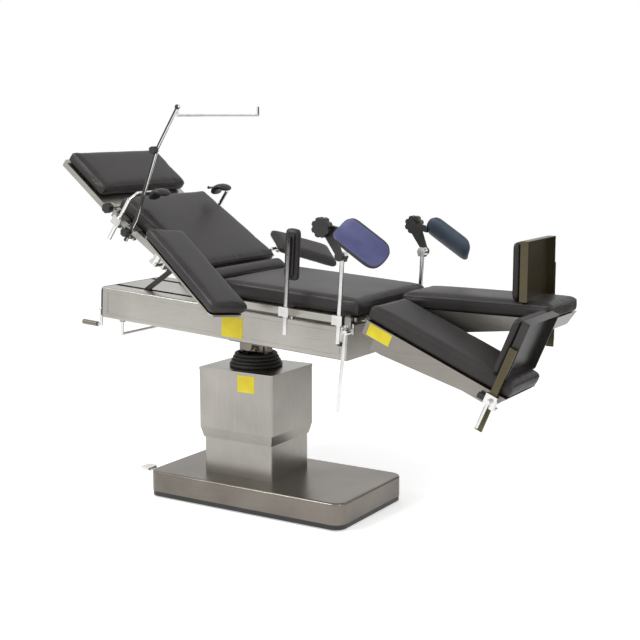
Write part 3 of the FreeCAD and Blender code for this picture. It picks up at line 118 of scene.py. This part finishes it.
# %% [markdown]
# Stainless sheet is brushed along its length. The brushing leaves fine parallel scratches that
# stretch every highlight across them. Real scratches are some hundredths of a millimetre apart, too
# fine to show, so they are drawn about 1.5 mm apart and 120 mm long. Broad soft noise adds the uneven
# sheen of thin sheet that is never perfectly flat. The same finish in other tones serves the leg
# sections and the plain machined parts. The base gets a darker copy of it, which is painted shade, and
# the foot boards get an olive copy, which is a painted reflection of the room.

# %% Brushed stainless steel
SCRATCH_SPACING = 0.0015
SCRATCH_LENGTH = 0.120
SHEET_WAVE = 0.25


def brushed(name, dark, light, rough_low, rough_high, along="x"):
    material, tree, shader = new_material(name)
    place = add(tree, "ShaderNodeTexCoord")
    fine = 1 / SCRATCH_SPACING
    slow = 1 / SCRATCH_LENGTH
    stretch = {"x": (slow, fine, fine), "z": (fine, fine, slow)}[along]
    mapping = add(tree, "ShaderNodeMapping", {"Scale": stretch}, Vector=place.outputs["Object"])
    scratches = add(tree, "ShaderNodeTexNoise", {"Scale": 1.0, "Detail": 3.0},
                    Vector=mapping.outputs["Vector"])
    waves = add(tree, "ShaderNodeTexNoise", {"Scale": 1 / SHEET_WAVE, "Detail": 4.0},
                Vector=place.outputs["Object"])
    blend = add(tree, "ShaderNodeMix", {"data_type": "FLOAT", "Factor": 0.4})
    tree.links.new(waves.outputs["Fac"], blend.inputs["A"])
    tree.links.new(scratches.outputs["Fac"], blend.inputs["B"])
    tone = colour_ramp(tree, blend.outputs["Result"], dark, light)
    tree.links.new(tone.outputs["Color"], shader.inputs["Base Color"])
    rough = add(tree, "ShaderNodeMapRange", {"To Min": rough_low, "To Max": rough_high},
                Value=scratches.outputs["Fac"])
    tree.links.new(rough.outputs["Result"], shader.inputs["Roughness"])
    bump = add(tree, "ShaderNodeBump", {"Strength": 0.12, "Distance": 0.0004},
               Height=scratches.outputs["Fac"])
    tree.links.new(bump.outputs["Normal"], shader.inputs["Normal"])
    shader.inputs["Metallic"].default_value = 1.0
    return material


frame_steel = brushed("stainless sheet, brushed lengthwise", "#97958e", "#b3b0aa", 0.24, 0.36)
column_steel = brushed("stainless sheet, brushed upright", "#8b8884", "#aaa69f", 0.24, 0.36, "z")
# Painted shade: the same brushed stainless as the frame, made darker for the base.
base_steel_painted_shade = brushed("stainless sheet, brushed, painted shade", "#66615b", "#847e77", 0.26, 0.38)
leg_steel = brushed("stainless sheet, brushed, warm", "#7d7973", "#96918a", 0.26, 0.38)
# Painted reflection: the olive tone stands for the room mirrored in the foot boards' stainless.
board_steel_painted_reflection = brushed("stainless sheet, satin, painted olive reflection", "#4e4938", "#625b49", 0.3, 0.42)
machined_steel = brushed("mild steel, machined", "#6f6962", "#8c857c", 0.3, 0.45)
print("six steels")

# %% [markdown]
# Posts, levers and clamps are chromium plated. The plate is mirror smooth and slightly blue, and years
# of cleaning leave faint smears, which show as small changes of gloss.

# %% Chromium plate
SMEAR_SIZE = 0.03


def plated(name, colour, rough_low, rough_high):
    material, tree, shader = new_material(name)
    place = add(tree, "ShaderNodeTexCoord")
    smear = add(tree, "ShaderNodeTexNoise", {"Scale": 1 / SMEAR_SIZE, "Detail": 5.0},
                Vector=place.outputs["Object"])
    rough = add(tree, "ShaderNodeMapRange", {"To Min": rough_low, "To Max": rough_high},
                Value=smear.outputs["Fac"])
    tree.links.new(rough.outputs["Result"], shader.inputs["Roughness"])
    tone = colour_ramp(tree, smear.outputs["Fac"], colour, "#e6e6e4", 0.2, 0.9)
    tree.links.new(tone.outputs["Color"], shader.inputs["Base Color"])
    shader.inputs["Metallic"].default_value = 1.0
    return material


chrome = plated("steel, chromium plated", "#c9c8c6", 0.06, 0.20)
print("chrome")

# %% [markdown]
# The cushions wear coated vinyl over firm foam. Vinyl is embossed with a leather grain of small
# rounded cells about 1.5 mm across, drawn at 4 mm here so that it shows. It has a dull sheen, and
# handling and cleaning leave slightly paler and darker areas.

# %% Vinyl
GRAIN_CELL = 0.004
WORN_PATCH = 0.16
POLISHED = 0.08
DULLED = 0.12


def vinyl(name, dark, light, rough):
    material, tree, shader = new_material(name)
    place = add(tree, "ShaderNodeTexCoord")
    cells = add(tree, "ShaderNodeTexVoronoi", {"Scale": 1 / GRAIN_CELL},
                Vector=place.outputs["Object"])
    cells.feature = "SMOOTH_F1"
    wear = add(tree, "ShaderNodeTexNoise", {"Scale": 1 / WORN_PATCH, "Detail": 6.0,
                                            "Roughness": 0.62}, Vector=place.outputs["Object"])
    tone = colour_ramp(tree, wear.outputs["Fac"], dark, light, 0.35, 0.72)
    tree.links.new(tone.outputs["Color"], shader.inputs["Base Color"])
    gloss = add(tree, "ShaderNodeMapRange", {"To Min": rough - POLISHED, "To Max": rough + DULLED},
                Value=wear.outputs["Fac"])
    tree.links.new(gloss.outputs["Result"], shader.inputs["Roughness"])
    bump = add(tree, "ShaderNodeBump", {"Strength": 0.22, "Distance": 0.0006},
               Height=cells.outputs["Distance"])
    tree.links.new(bump.outputs["Normal"], shader.inputs["Normal"])
    shader.inputs["IOR"].default_value = 1.42
    shader.inputs["Sheen Weight"].default_value = 0.03
    shader.inputs["Sheen Roughness"].default_value = 0.4
    return material


charcoal_vinyl = vinyl("PVC coated fabric, charcoal, embossed", "#211e1e", "#312d2c", 0.44)
blue_vinyl = vinyl("PVC coated fabric, blue violet, embossed", "#46476f", "#5c5d8a", 0.5)
slate_vinyl = vinyl("PVC coated fabric, slate, embossed", "#35404c", "#48545f", 0.5)
welt_vinyl = vinyl("PVC coated fabric, seam edge", "#262322", "#383331", 0.42)
print("four vinyls")

# %% [markdown]
# The boot round the tilting head and the feet are moulded rubber: nearly black, dull, and powdery
# where it has flexed. Knobs and caps are moulded plastic with a fine spark-eroded surface. The skirt
# and the lifting links are steel with a powder coat, which has a slight orange peel.

# %% Rubber, plastic and powder coat
DUST_PATCH = 1 / 14.0


def moulded(name, dark, light, rough, grain, bump_strength):
    material, tree, shader = new_material(name)
    place = add(tree, "ShaderNodeTexCoord")
    speckle = add(tree, "ShaderNodeTexNoise", {"Scale": 1 / grain, "Detail": 4.0},
                  Vector=place.outputs["Object"])
    dust = add(tree, "ShaderNodeTexNoise", {"Scale": 1 / DUST_PATCH, "Detail": 5.0},
               Vector=place.outputs["Object"])
    tone = colour_ramp(tree, dust.outputs["Fac"], dark, light, 0.35, 0.75)
    tree.links.new(tone.outputs["Color"], shader.inputs["Base Color"])
    bump = add(tree, "ShaderNodeBump", {"Strength": bump_strength, "Distance": 0.0005},
               Height=speckle.outputs["Fac"])
    tree.links.new(bump.outputs["Normal"], shader.inputs["Normal"])
    shader.inputs["Roughness"].default_value = rough
    return material


black_rubber = moulded("rubber, black, moulded", "#121212", "#24211f", 0.62, 0.003, 0.3)
black_plastic = moulded("ABS, black, spark eroded", "#191817", "#2b2927", 0.42, 0.002, 0.15)
black_coat = moulded("steel, black powder coat", "#1b1a19", "#2c2a28", 0.36, 0.0025, 0.2)
yellow_enamel = moulded("aluminium plate, yellow enamel", "#d9c416", "#ecdc2f", 0.34, 0.004, 0.05)
print("four dark and painted finishes")

# %% [markdown]
# Every hard piece of the solid model now gets its finish. Most pieces have one material. A piece that
# was modelled with its plastic knob attached gets two: the faces whose middle lies in the knob's
# space take the second one.

# %% Finishes of the hard pieces
# The base cover's darker steel is painted shade.
FINISH = {
    "base_feet": black_rubber, "base_chassis": black_coat, "base_cover": base_steel_painted_shade,
    "pump_pedal": chrome, "lower_shroud": column_steel, "upper_shroud": column_steel,
    "lift_cylinder": machined_steel, "lift_ram": chrome, "tilt_pedestal": machined_steel,
    "tilt_cross": machined_steel, "bellows": black_rubber, "tilt_saddle": machined_steel,
    "main_frame": frame_steel, "frame_end_cap": black_plastic, "head_crank": chrome,
    "lock_lever": chrome, "seat_frame": frame_steel, "seat_rails": frame_steel,
    "seat_clamps": chrome, "leg_lock_lever": chrome, "back_frame": frame_steel,
    "back_rails": frame_steel, "back_clamps": chrome, "kidney_bridge": frame_steel,
    "push_links": black_coat, "head_frame": frame_steel, "near_arm_plate": frame_steel,
    "far_arm_post": chrome, "near_support_post": chrome, "screen_frame": chrome,
}
# The board plates' olive steel is a painted reflection.
PAIRED_FINISH = {
    "leg_hinge": machined_steel, "leg_frame": leg_steel, "board_plate": board_steel_painted_reflection,
    "board_clamp": chrome, "crutch_post": chrome, "crutch_arm": black_plastic,
    "shoulder_rod": chrome,
}
for side in ("near", "far"):
    for ending, material in PAIRED_FINISH.items():
        FINISH[side + "_" + ending] = material


def finish_piece(name, material):
    mesh = nodes[name].data
    mesh.materials.clear()
    mesh.materials.append(material)
    for face in mesh.polygons:
        face.material_index = 0


for name, material in FINISH.items():
    finish_piece(name, material)
print("finished", len(FINISH), "hard pieces")

# %% [markdown]
# The tilted sections have their own flat coordinates, as on the real table: X along the section,
# Y across and Z out of its top. Building each cushion flat and then turning it keeps the numbers
# simple.

# %% Places of the sections


def turned(parent, x, z, degrees):
    step = Matrix.Translation((x, 0, z)) @ Matrix.Rotation(math.radians(degrees), 4, "Y")
    return parent @ step


TABLE = turned(Matrix.Identity(4), -0.086, 0.600, 3.3)
BACK = turned(TABLE, -0.0305, 0.252, 31.2)
HEAD = turned(BACK, -0.540, -0.045, 4.9)
NEAR_LEG = turned(TABLE, 0.603, 0.214, 19.5)
FAR_LEG = turned(TABLE, 0.603, 0.214, -3.3)
HALF_WIDTH = 0.260
print("five sections placed")

# %% [markdown]
# Some clamps and hinges were modelled in one piece with their moulded knobs. The knobs are black
# plastic on chromed metal, so each face whose middle lies in a knob's space takes the second finish.

# %% Knobs on plated pieces


def second_finish(name, place, inside, material):
    piece = nodes[name]
    mesh = piece.data
    mesh.materials.append(material)
    slot = len(mesh.materials) - 1
    to_section = place.inverted() @ piece.matrix_world
    count = 0
    for face in mesh.polygons:
        if inside(to_section @ face.center):
            face.material_index = slot
            count += 1
    print(name, "has", count, "faces in the second finish")


second_finish("head_frame", HEAD, lambda p: abs(p.y) > 0.2652, black_plastic)
second_finish("seat_clamps", TABLE, lambda p: p.z < 0.1348, black_plastic)
second_finish("back_clamps", BACK, lambda p: p.y < -0.3255 and abs(p.x + 0.384) < 0.018,
              black_plastic)
second_finish("screen_frame", BACK, lambda p: p.y < -0.3155 or p.y > 0.196, black_plastic)
second_finish("near_board_clamp", NEAR_LEG, lambda p: p.x < 0.5158, black_plastic)
second_finish("far_board_clamp", FAR_LEG, lambda p: p.x < 0.4558, black_plastic)
second_finish("head_crank", TABLE, lambda p: p.x < -0.648 and p.z < 0.02, machined_steel)
second_finish("near_support_post", TABLE, lambda p: p.z > 0.31, black_plastic)
second_finish("near_board_plate", NEAR_LEG, lambda p: p.y > -0.262, black_coat)

# %% [markdown]
# A cushion of this kind is a slab of firm foam glued to a board and wrapped in vinyl. Its top crowns
# a little, its sides pull in between the corners, and its edges are soft. The form starts as a box
# with rounded edges, cut into a fine grid so that it can be shaped.

# %% Cushion form
EDGE_ROUND = 0.014
GRID_STEP = 0.018


def cushion_form(name, x, y, z, crown, tuck, corner=0.0):
    mesh = bpy.data.meshes.new(name)
    form = bmesh.new()
    size = Vector((x[1] - x[0], y[1] - y[0], z[1] - z[0]))
    middle = Vector(((x[0] + x[1]) / 2, (y[0] + y[1]) / 2, (z[0] + z[1]) / 2))
    bmesh.ops.create_cube(form, size=1.0)
    for vertex in form.verts:
        vertex.co = Vector([c * s for c, s in zip(vertex.co, size)])
    for axis in range(3):
        steps = max(2, int(size[axis] / GRID_STEP))
        for cut in range(1, steps):
            point = Vector((0, 0, 0))
            point[axis] = -size[axis] / 2 + size[axis] * cut / steps
            normal = Vector((0, 0, 0))
            normal[axis] = 1
            geometry = form.verts[:] + form.edges[:] + form.faces[:]
            bmesh.ops.bisect_plane(form, geom=geometry, plane_co=point, plane_no=normal)
    shape_cushion(form, size, crown, tuck)
    if corner:
        round_outline(form, size, corner)
    bmesh.ops.translate(form, verts=form.verts, vec=middle)
    bmesh.ops.recalc_face_normals(form, faces=form.faces)
    form.to_mesh(mesh)
    form.free()
    cushion = bpy.data.objects.new(name, mesh)
    bpy.context.scene.collection.objects.link(cushion)
    return cushion


def shape_cushion(form, size, crown, tuck):
    half = size / 2
    for vertex in form.verts:
        across = [vertex.co[i] / half[i] for i in range(3)]
        core = Vector([max(-half[i] + EDGE_ROUND, min(half[i] - EDGE_ROUND, vertex.co[i]))
                       for i in range(3)])
        outward = vertex.co - core
        if outward.length > 0:
            outward = outward.normalized() * min(EDGE_ROUND, outward.length)
        point = core + outward
        swell = (1 - across[0] ** 4) * (1 - across[1] ** 4)
        if across[2] > 0:
            point.z += crown * swell * across[2]
        for i, j in ((0, 1), (1, 0)):
            inward = tuck * (1 - across[j] ** 4) * (1 - across[2] ** 2) * across[i] ** 3
            point[i] -= inward
        vertex.co = point


def round_outline(form, size, corner):
    reach = (size.x / 2 - corner, size.y / 2 - corner)
    for vertex in form.verts:
        beyond = [max(0.0, abs(vertex.co[i]) - reach[i]) for i in (0, 1)]
        far = math.hypot(*beyond)
        if min(beyond) > 0:
            scale = max(beyond) / far
            for i in (0, 1):
                vertex.co[i] = math.copysign(reach[i] + beyond[i] * scale, vertex.co[i])


print("cushion form ready")

# %% [markdown]
# Vinyl over foam also shows slight swelling and puckers. A short cloth simulation blows the shell up
# from inside a little. The mesh is rebuilt with even faces first, gravity is off, and no point may
# move further than a few millimetres, so the cushion keeps its size.

# %% Cloth pass
VOXEL = 0.006
PRESSURE = 4.0
LAST_FRAME = 14


def puff(cushion, cap):
    start_mesh(cushion)
    rest = [vertex.co.copy() for vertex in cushion.data.vertices]
    cloth = cushion.modifiers.new("cloth", "CLOTH")
    settings = cloth.settings
    settings.use_pressure = True
    settings.uniform_pressure_force = PRESSURE
    settings.effector_weights.gravity = 0.0
    settings.quality = 4
    settings.tension_stiffness = 25
    settings.compression_stiffness = 25
    cloth.point_cache.frame_end = LAST_FRAME
    scene = bpy.context.scene
    for number in range(1, LAST_FRAME + 1):
        scene.frame_set(number)
    graph = bpy.context.evaluated_depsgraph_get()
    swollen = cushion.evaluated_get(graph).data
    moved = [vertex.co.copy() for vertex in swollen.vertices]
    cushion.modifiers.clear()
    for vertex, old, new in zip(cushion.data.vertices, rest, moved):
        step = new - old
        if step.length > cap:
            step = step.normalized() * cap
        vertex.co = old + step
    scene.frame_set(1)


def start_mesh(cushion):
    remesh = cushion.modifiers.new("even faces", "REMESH")
    remesh.mode = "VOXEL"
    remesh.voxel_size = VOXEL
    bake_modifiers(cushion)


def bake_modifiers(piece):
    graph = bpy.context.evaluated_depsgraph_get()
    baked = bpy.data.meshes.new_from_object(piece.evaluated_get(graph))
    piece.modifiers.clear()
    piece.data = baked


def smooth_faces(piece):
    for face in piece.data.polygons:
        face.use_smooth = True


print("cloth pass ready")

# %% [markdown]
# The top and the side of a cushion are separate panels of vinyl, sewn together just below the top
# edge. The seam is a thin raised line that follows the finished surface, so it is made last: points
# round the outline are dropped onto the cushion and joined into a slim tube.

# %% Seam line
SEAM_RADIUS = 0.0014
SEAM_STEP = 0.02


def seam_line(name, cushion, x, y, height):
    tree = BVHTree.FromPolygons([v.co for v in cushion.data.vertices],
                                [tuple(f.vertices) for f in cushion.data.polygons])
    points = [tree.find_nearest(point)[0] for point in outline_points(x, y, height)]
    curve = bpy.data.curves.new(name, "CURVE")
    curve.dimensions = "3D"
    curve.bevel_depth = SEAM_RADIUS
    curve.bevel_resolution = 2
    spline = curve.splines.new("POLY")
    spline.points.add(len(points) - 1)
    for target, point in zip(spline.points, points):
        target.co = (*point, 1)
    spline.use_cyclic_u = True
    seam = bpy.data.objects.new(name, curve)
    bpy.context.scene.collection.objects.link(seam)
    seam.data.materials.append(welt_vinyl)
    return seam


def outline_points(x, y, height):
    corners = [(x[0], y[0]), (x[1], y[0]), (x[1], y[1]), (x[0], y[1])]
    points = []
    for start, end in zip(corners, corners[1:] + corners[:1]):
        run = Vector((end[0] - start[0], end[1] - start[1]))
        steps = max(3, int(run.length / SEAM_STEP))
        for step in range(steps):
            part = step / steps
            points.append(Vector((start[0] + run.x * part, start[1] + run.y * part, height)))
    return points


print("seam line ready")

# %% [markdown]
# One function now makes a whole cushion: form, cloth pass, finishing subdivision, seam, finish and
# place. It starts a few millimetres small, because the cloth pass swells it.

# %% Cushion maker
MARGIN = 0.002
UNDERSIDE_GAP = 0.0005
SEAM_BELOW_TOP = 0.010
pads = []


def cushion(node, body, place, x, y, z, crown=0.006, tuck=0.003, cap=0.004, cloth=True,
            seam=True):
    inner_x = (x[0] + MARGIN, x[1] - MARGIN)
    inner_y = (y[0] + MARGIN, y[1] - MARGIN)
    inner_z = (z[0] + UNDERSIDE_GAP, z[1] - MARGIN)
    pad = cushion_form(node + "_cover", inner_x, inner_y, inner_z, crown, tuck)
    if cloth:
        puff(pad, cap)
    pad.modifiers.new("soften", "SUBSURF").levels = 1
    bake_modifiers(pad)
    pad.data.materials.clear()
    pad.data.materials.append(charcoal_vinyl)
    smooth_faces(pad)
    pieces = [pad]
    if seam:
        pieces.append(seam_line(node + "_seam", pad, inner_x, inner_y, z[1] - SEAM_BELOW_TOP))
    for piece in pieces:
        piece.data.transform(place)
        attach(piece, body)
    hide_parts(node)
    pads.append(pad)


print("cushion maker ready")

# %% Seat, back, kidney and head cushions
cushion("seat_cushion", "frame", TABLE, (-0.0165, 0.5915), (-HALF_WIDTH, HALF_WIDTH), (0.220, 0.280))
cushion("back_cushion", "back", BACK, (-0.527, -0.081), (-HALF_WIDTH, HALF_WIDTH), (-0.032, 0.028))
cushion("kidney_cushion", "kidney", BACK, (-0.075, -0.014), (-0.258, 0.258), (-0.032, 0.028),
        crown=0.004, cloth=False)
cushion("head_cushion", "head", HEAD, (-0.290, -0.065), (-HALF_WIDTH, HALF_WIDTH), (-0.009, 0.041))
print("table top cushions", len(pads))

# %% Leg and foot board cushions
for name, side, place, reach in (("near", -1, NEAR_LEG, 0.524), ("far", 1, FAR_LEG, 0.464)):
    across = sorted((side * 0.005, side * HALF_WIDTH))
    cushion(name + "_leg_cushion", name + "_leg", place, (0.0025, 0.590), across, (0.0127, 0.0647))
    stand = sorted((side * 0.007, side * 0.258))
    cushion(name + "_board_cushion", name + "_foot", place, (reach - 0.036, reach), stand,
            (0.0657, 0.2707), crown=0.0, tuck=0.002, cloth=False, seam=False)
print("with the legs", len(pads))

# %% [markdown]
# The arm boards and the lateral support have thinner pads of the same vinyl. Each has its own small
# frame of reference at the pin that it turns on.

# %% Arm and side pads
ARM_SWING = -11.8
ARM_PIVOT_Y = -(0.260 + 0.014 + 0.010 + 0.0905 - 0.012)
arm_place = BACK @ Matrix.Translation((-0.196, ARM_PIVOT_Y, 0))
arm_place = arm_place @ Matrix.Rotation(math.radians(ARM_SWING), 4, "Z")
cushion("near_arm_pad", "near_arm", arm_place, (-0.042, 0.418), (-0.0905, 0.0905), (0.061, 0.103),
        crown=0.004)
FAR_PIVOT = (-0.141, 0.310 + 0.052, 0)
far_place = BACK @ Matrix.Translation(FAR_PIVOT) @ Matrix.Rotation(math.radians(60), 4, "Z")
cushion("far_arm_pad", "far_arm", far_place, (-0.040, 0.260), (-0.0725, 0.0725), (0.0103, 0.0463),
        crown=0.004)
support_place = TABLE @ Matrix.Translation((0.328, -0.310, 0.252))
cushion("near_support_pad", "near_support", support_place, (-0.033, 0.033), (0.0113, 0.0463),
        (0.067, 0.255), crown=0.0, tuck=0.003, seam=False, cloth=False)
print("with the arm pads", len(pads))

# %% [markdown]
# The leg troughs and the shoulder pads are flat pads bent round a pipe. So each starts as a flat
# cushion and is then rolled up: the distance across the pad becomes an angle round the pipe's axis.
# The trough's inner panel is blue vinyl, and its back is the same charcoal as the table.

# %% Curved pads
BENT_CROWN = 0.002
INNER_PANEL_SLOPE = 0.35


def bent_pad(node, body, place, along, reach, span, thickness, corner, roll, inner, outer):
    middle = reach - thickness / 2
    width = math.radians(span) * middle
    pad = cushion_form(node + "_cover", along, (-width / 2, width / 2),
                       (-thickness / 2 + UNDERSIDE_GAP, thickness / 2 - UNDERSIDE_GAP), BENT_CROWN,
                       0.0, corner)
    pad.modifiers.new("soften", "SUBSURF").levels = 1
    bake_modifiers(pad)
    pad.data.materials.append(outer)
    pad.data.materials.append(inner)
    smooth_faces(pad)
    for face in pad.data.polygons:
        face.material_index = 1 if face.normal.z > INNER_PANEL_SLOPE else 0
    for vertex in pad.data.vertices:
        angle = roll + vertex.co.y / middle
        radius = middle - vertex.co.z
        vertex.co = Vector((vertex.co.x, math.sin(angle) * radius, -math.cos(angle) * radius))
    pad.data.transform(place)
    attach(pad, body)
    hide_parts(node)
    pads.append(pad)


TROUGH_REACH = 0.078
CRUTCHES = {"near": (-1, 0.545, 0.182, blue_vinyl, charcoal_vinyl),
            "far": (1, 0.534, 0.140, slate_vinyl, slate_vinyl)}
for name, (side, x, pivot, inner, outer) in CRUTCHES.items():
    place = TABLE @ Matrix.Translation((x - 0.008, side * 0.326, 0.252 + pivot + 0.102 * 0.9))
    place = place @ Matrix.Rotation(math.radians(29), 4, "Y")
    place = place @ Matrix.Rotation(math.radians(-side * 52), 4, "X")
    place = place @ Matrix.Translation((0, 0, TROUGH_REACH + 0.002))
    bent_pad(name + "_crutch_trough", name + "_crutch", place, (0.0, 0.205), TROUGH_REACH, 108,
             0.026, 0.040, 0.0, inner, outer)

tip = math.radians(40)
across = Matrix(((0, math.sin(tip), math.cos(tip)), (1, 0, 0), (0, math.cos(tip), -math.sin(tip))))
for name, side in (("near", -1), ("far", 1)):
    place = BACK @ Matrix.Translation((-0.400, side * 0.197, 0.090)) @ across.to_4x4()
    bent_pad(name + "_shoulder_pad", name + "_shoulder", place, (-0.035, 0.035), 0.046, 150,
             0.022, 0.010, 0.0, charcoal_vinyl, charcoal_vinyl)
print("with the curved pads", len(pads))

# %% [markdown]
# Three small yellow plates are glued on: one on the frame, one on the column and one on the near leg
# section. They are left blank here. Each is a thin sheet with rounded corners.

# %% Plates
PLATE_SHEET = 0.0006
PLATE_CORNER = 0.004


def plate(name, body, place, x, y, z):
    mesh = bpy.data.meshes.new(name)
    form = bmesh.new()
    bmesh.ops.create_cube(form, size=1.0)
    for vertex in form.verts:
        vertex.co = Vector(((x[0] + x[1]) / 2 + vertex.co.x * (x[1] - x[0]),
                            y - PLATE_SHEET * (0.5 + vertex.co.y),
                            (z[0] + z[1]) / 2 + vertex.co.z * (z[1] - z[0])))
    corners = [e for e in form.edges if abs(e.verts[0].co.y - e.verts[1].co.y) > PLATE_SHEET / 2]
    bmesh.ops.bevel(form, geom=corners, offset=PLATE_CORNER, segments=5, affect="EDGES")
    bmesh.ops.transform(form, matrix=place, verts=form.verts)
    form.to_mesh(mesh)
    form.free()
    piece = bpy.data.objects.new(name, mesh)
    bpy.context.scene.collection.objects.link(piece)
    mesh.materials.append(yellow_enamel)
    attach(piece, body)


plate("frame_plate", "frame", TABLE, (-0.025, 0.070), -0.1951, (0.058, 0.136))
plate("column_plate", "column", Matrix.Identity(4), (-0.074, 0.004), -0.1431, (0.440, 0.504))
plate("leg_plate", "near_leg", NEAR_LEG, (0.036, 0.128), -0.2601, (-0.034, 0.008))
print("three blank plates")

# %% [markdown]
# The floor and the backdrop are one plain white studio. The camera, glossy and clear rays see pure
# white, and the lamps stay at a level where a colour renders about as it is written.

# %% Floor and world
FLOOR_SIZE = 14.0
FLOOR_GLOW = 0.5
SKY_FILL = 0.55


def stage_sheet(name, corners, material_name, colour):
    mesh = bpy.data.meshes.new(name)
    mesh.from_pydata(corners, [], [(0, 1, 2, 3)])
    sheet = bpy.data.objects.new(name, mesh)
    bpy.context.scene.collection.objects.link(sheet)
    material, tree, shader = new_material(material_name)
    shader.inputs["Base Color"].default_value = linear(colour)
    shader.inputs["Roughness"].default_value = 0.9
    mesh.materials.append(material)
    return sheet, tree, shader


def seen_or_mirrored(tree):
    rays = add(tree, "ShaderNodeLightPath")
    seen = add(tree, "ShaderNodeMath", {"operation": "MAXIMUM"})
    tree.links.new(rays.outputs["Is Camera Ray"], seen.inputs[0])
    tree.links.new(rays.outputs["Is Glossy Ray"], seen.inputs[1])
    clear = add(tree, "ShaderNodeMath", {"operation": "MAXIMUM"})
    tree.links.new(seen.outputs["Value"], clear.inputs[0])
    tree.links.new(rays.outputs["Is Transmission Ray"], clear.inputs[1])
    return clear.outputs["Value"]


half = FLOOR_SIZE / 2
floor, tree, shader = stage_sheet(
    "floor", [(-half, -half, 0), (half, -half, 0), (half, half, 0), (-half, half, 0)],
    "studio floor, matt white paint", "#f4f4f4")
shader.inputs["Emission Color"].default_value = linear("#ffffff")
glow = add(tree, "ShaderNodeMath", {"operation": "MULTIPLY"})
tree.links.new(seen_or_mirrored(tree), glow.inputs[0])
glow.inputs[1].default_value = FLOOR_GLOW
tree.links.new(glow.outputs["Value"], shader.inputs["Emission Strength"])

world = bpy.data.worlds.new("studio")
world.use_nodes = True
bpy.context.scene.world = world
tree = world.node_tree
tree.nodes.clear()
soft = add(tree, "ShaderNodeBackground", {"Color": linear("#ffffff"), "Strength": SKY_FILL})
white = add(tree, "ShaderNodeBackground", {"Color": linear("#ffffff"), "Strength": 1.0})
choice = add(tree, "ShaderNodeMixShader", Fac=seen_or_mirrored(tree))
tree.links.new(soft.outputs["Background"], choice.inputs[1])
tree.links.new(white.outputs["Background"], choice.inputs[2])
add(tree, "ShaderNodeOutputWorld", Surface=choice.outputs["Shader"])
print("floor and world")

# %% [markdown]
# Two soft lamps light the table from the front left and from the right. A brown card beside the view
# gives the column's right face and the chromed posts something dark to mirror, as a room does.

# %% Lamps and card


def softbox(name, place, target, size, watts):
    data = bpy.data.lights.new(name, "AREA")
    data.shape = "DISK"
    data.size = size
    data.energy = watts
    lamp = bpy.data.objects.new(name, data)
    bpy.context.scene.collection.objects.link(lamp)
    aim(lamp, Vector(place), Vector(target))


softbox("key", (-1.8, -2.6, 3.6), (0, 0, 0.7), 1.6, 90)
softbox("fill", (3.2, -1.2, 2.4), (0.2, 0, 0.7), 1.4, 30)

card, tree, shader = stage_sheet(
    "dark_card", [(0.9, 2.9, 0.05), (2.5, 1.3, 0.05), (2.5, 1.3, 1.0), (0.9, 2.9, 1.0)],
    "studio card, brown matt paint", "#5c5144")
card.visible_camera = False
card.visible_shadow = False
bpy.context.scene.view_settings.view_transform = "Standard"
print("studio lit")
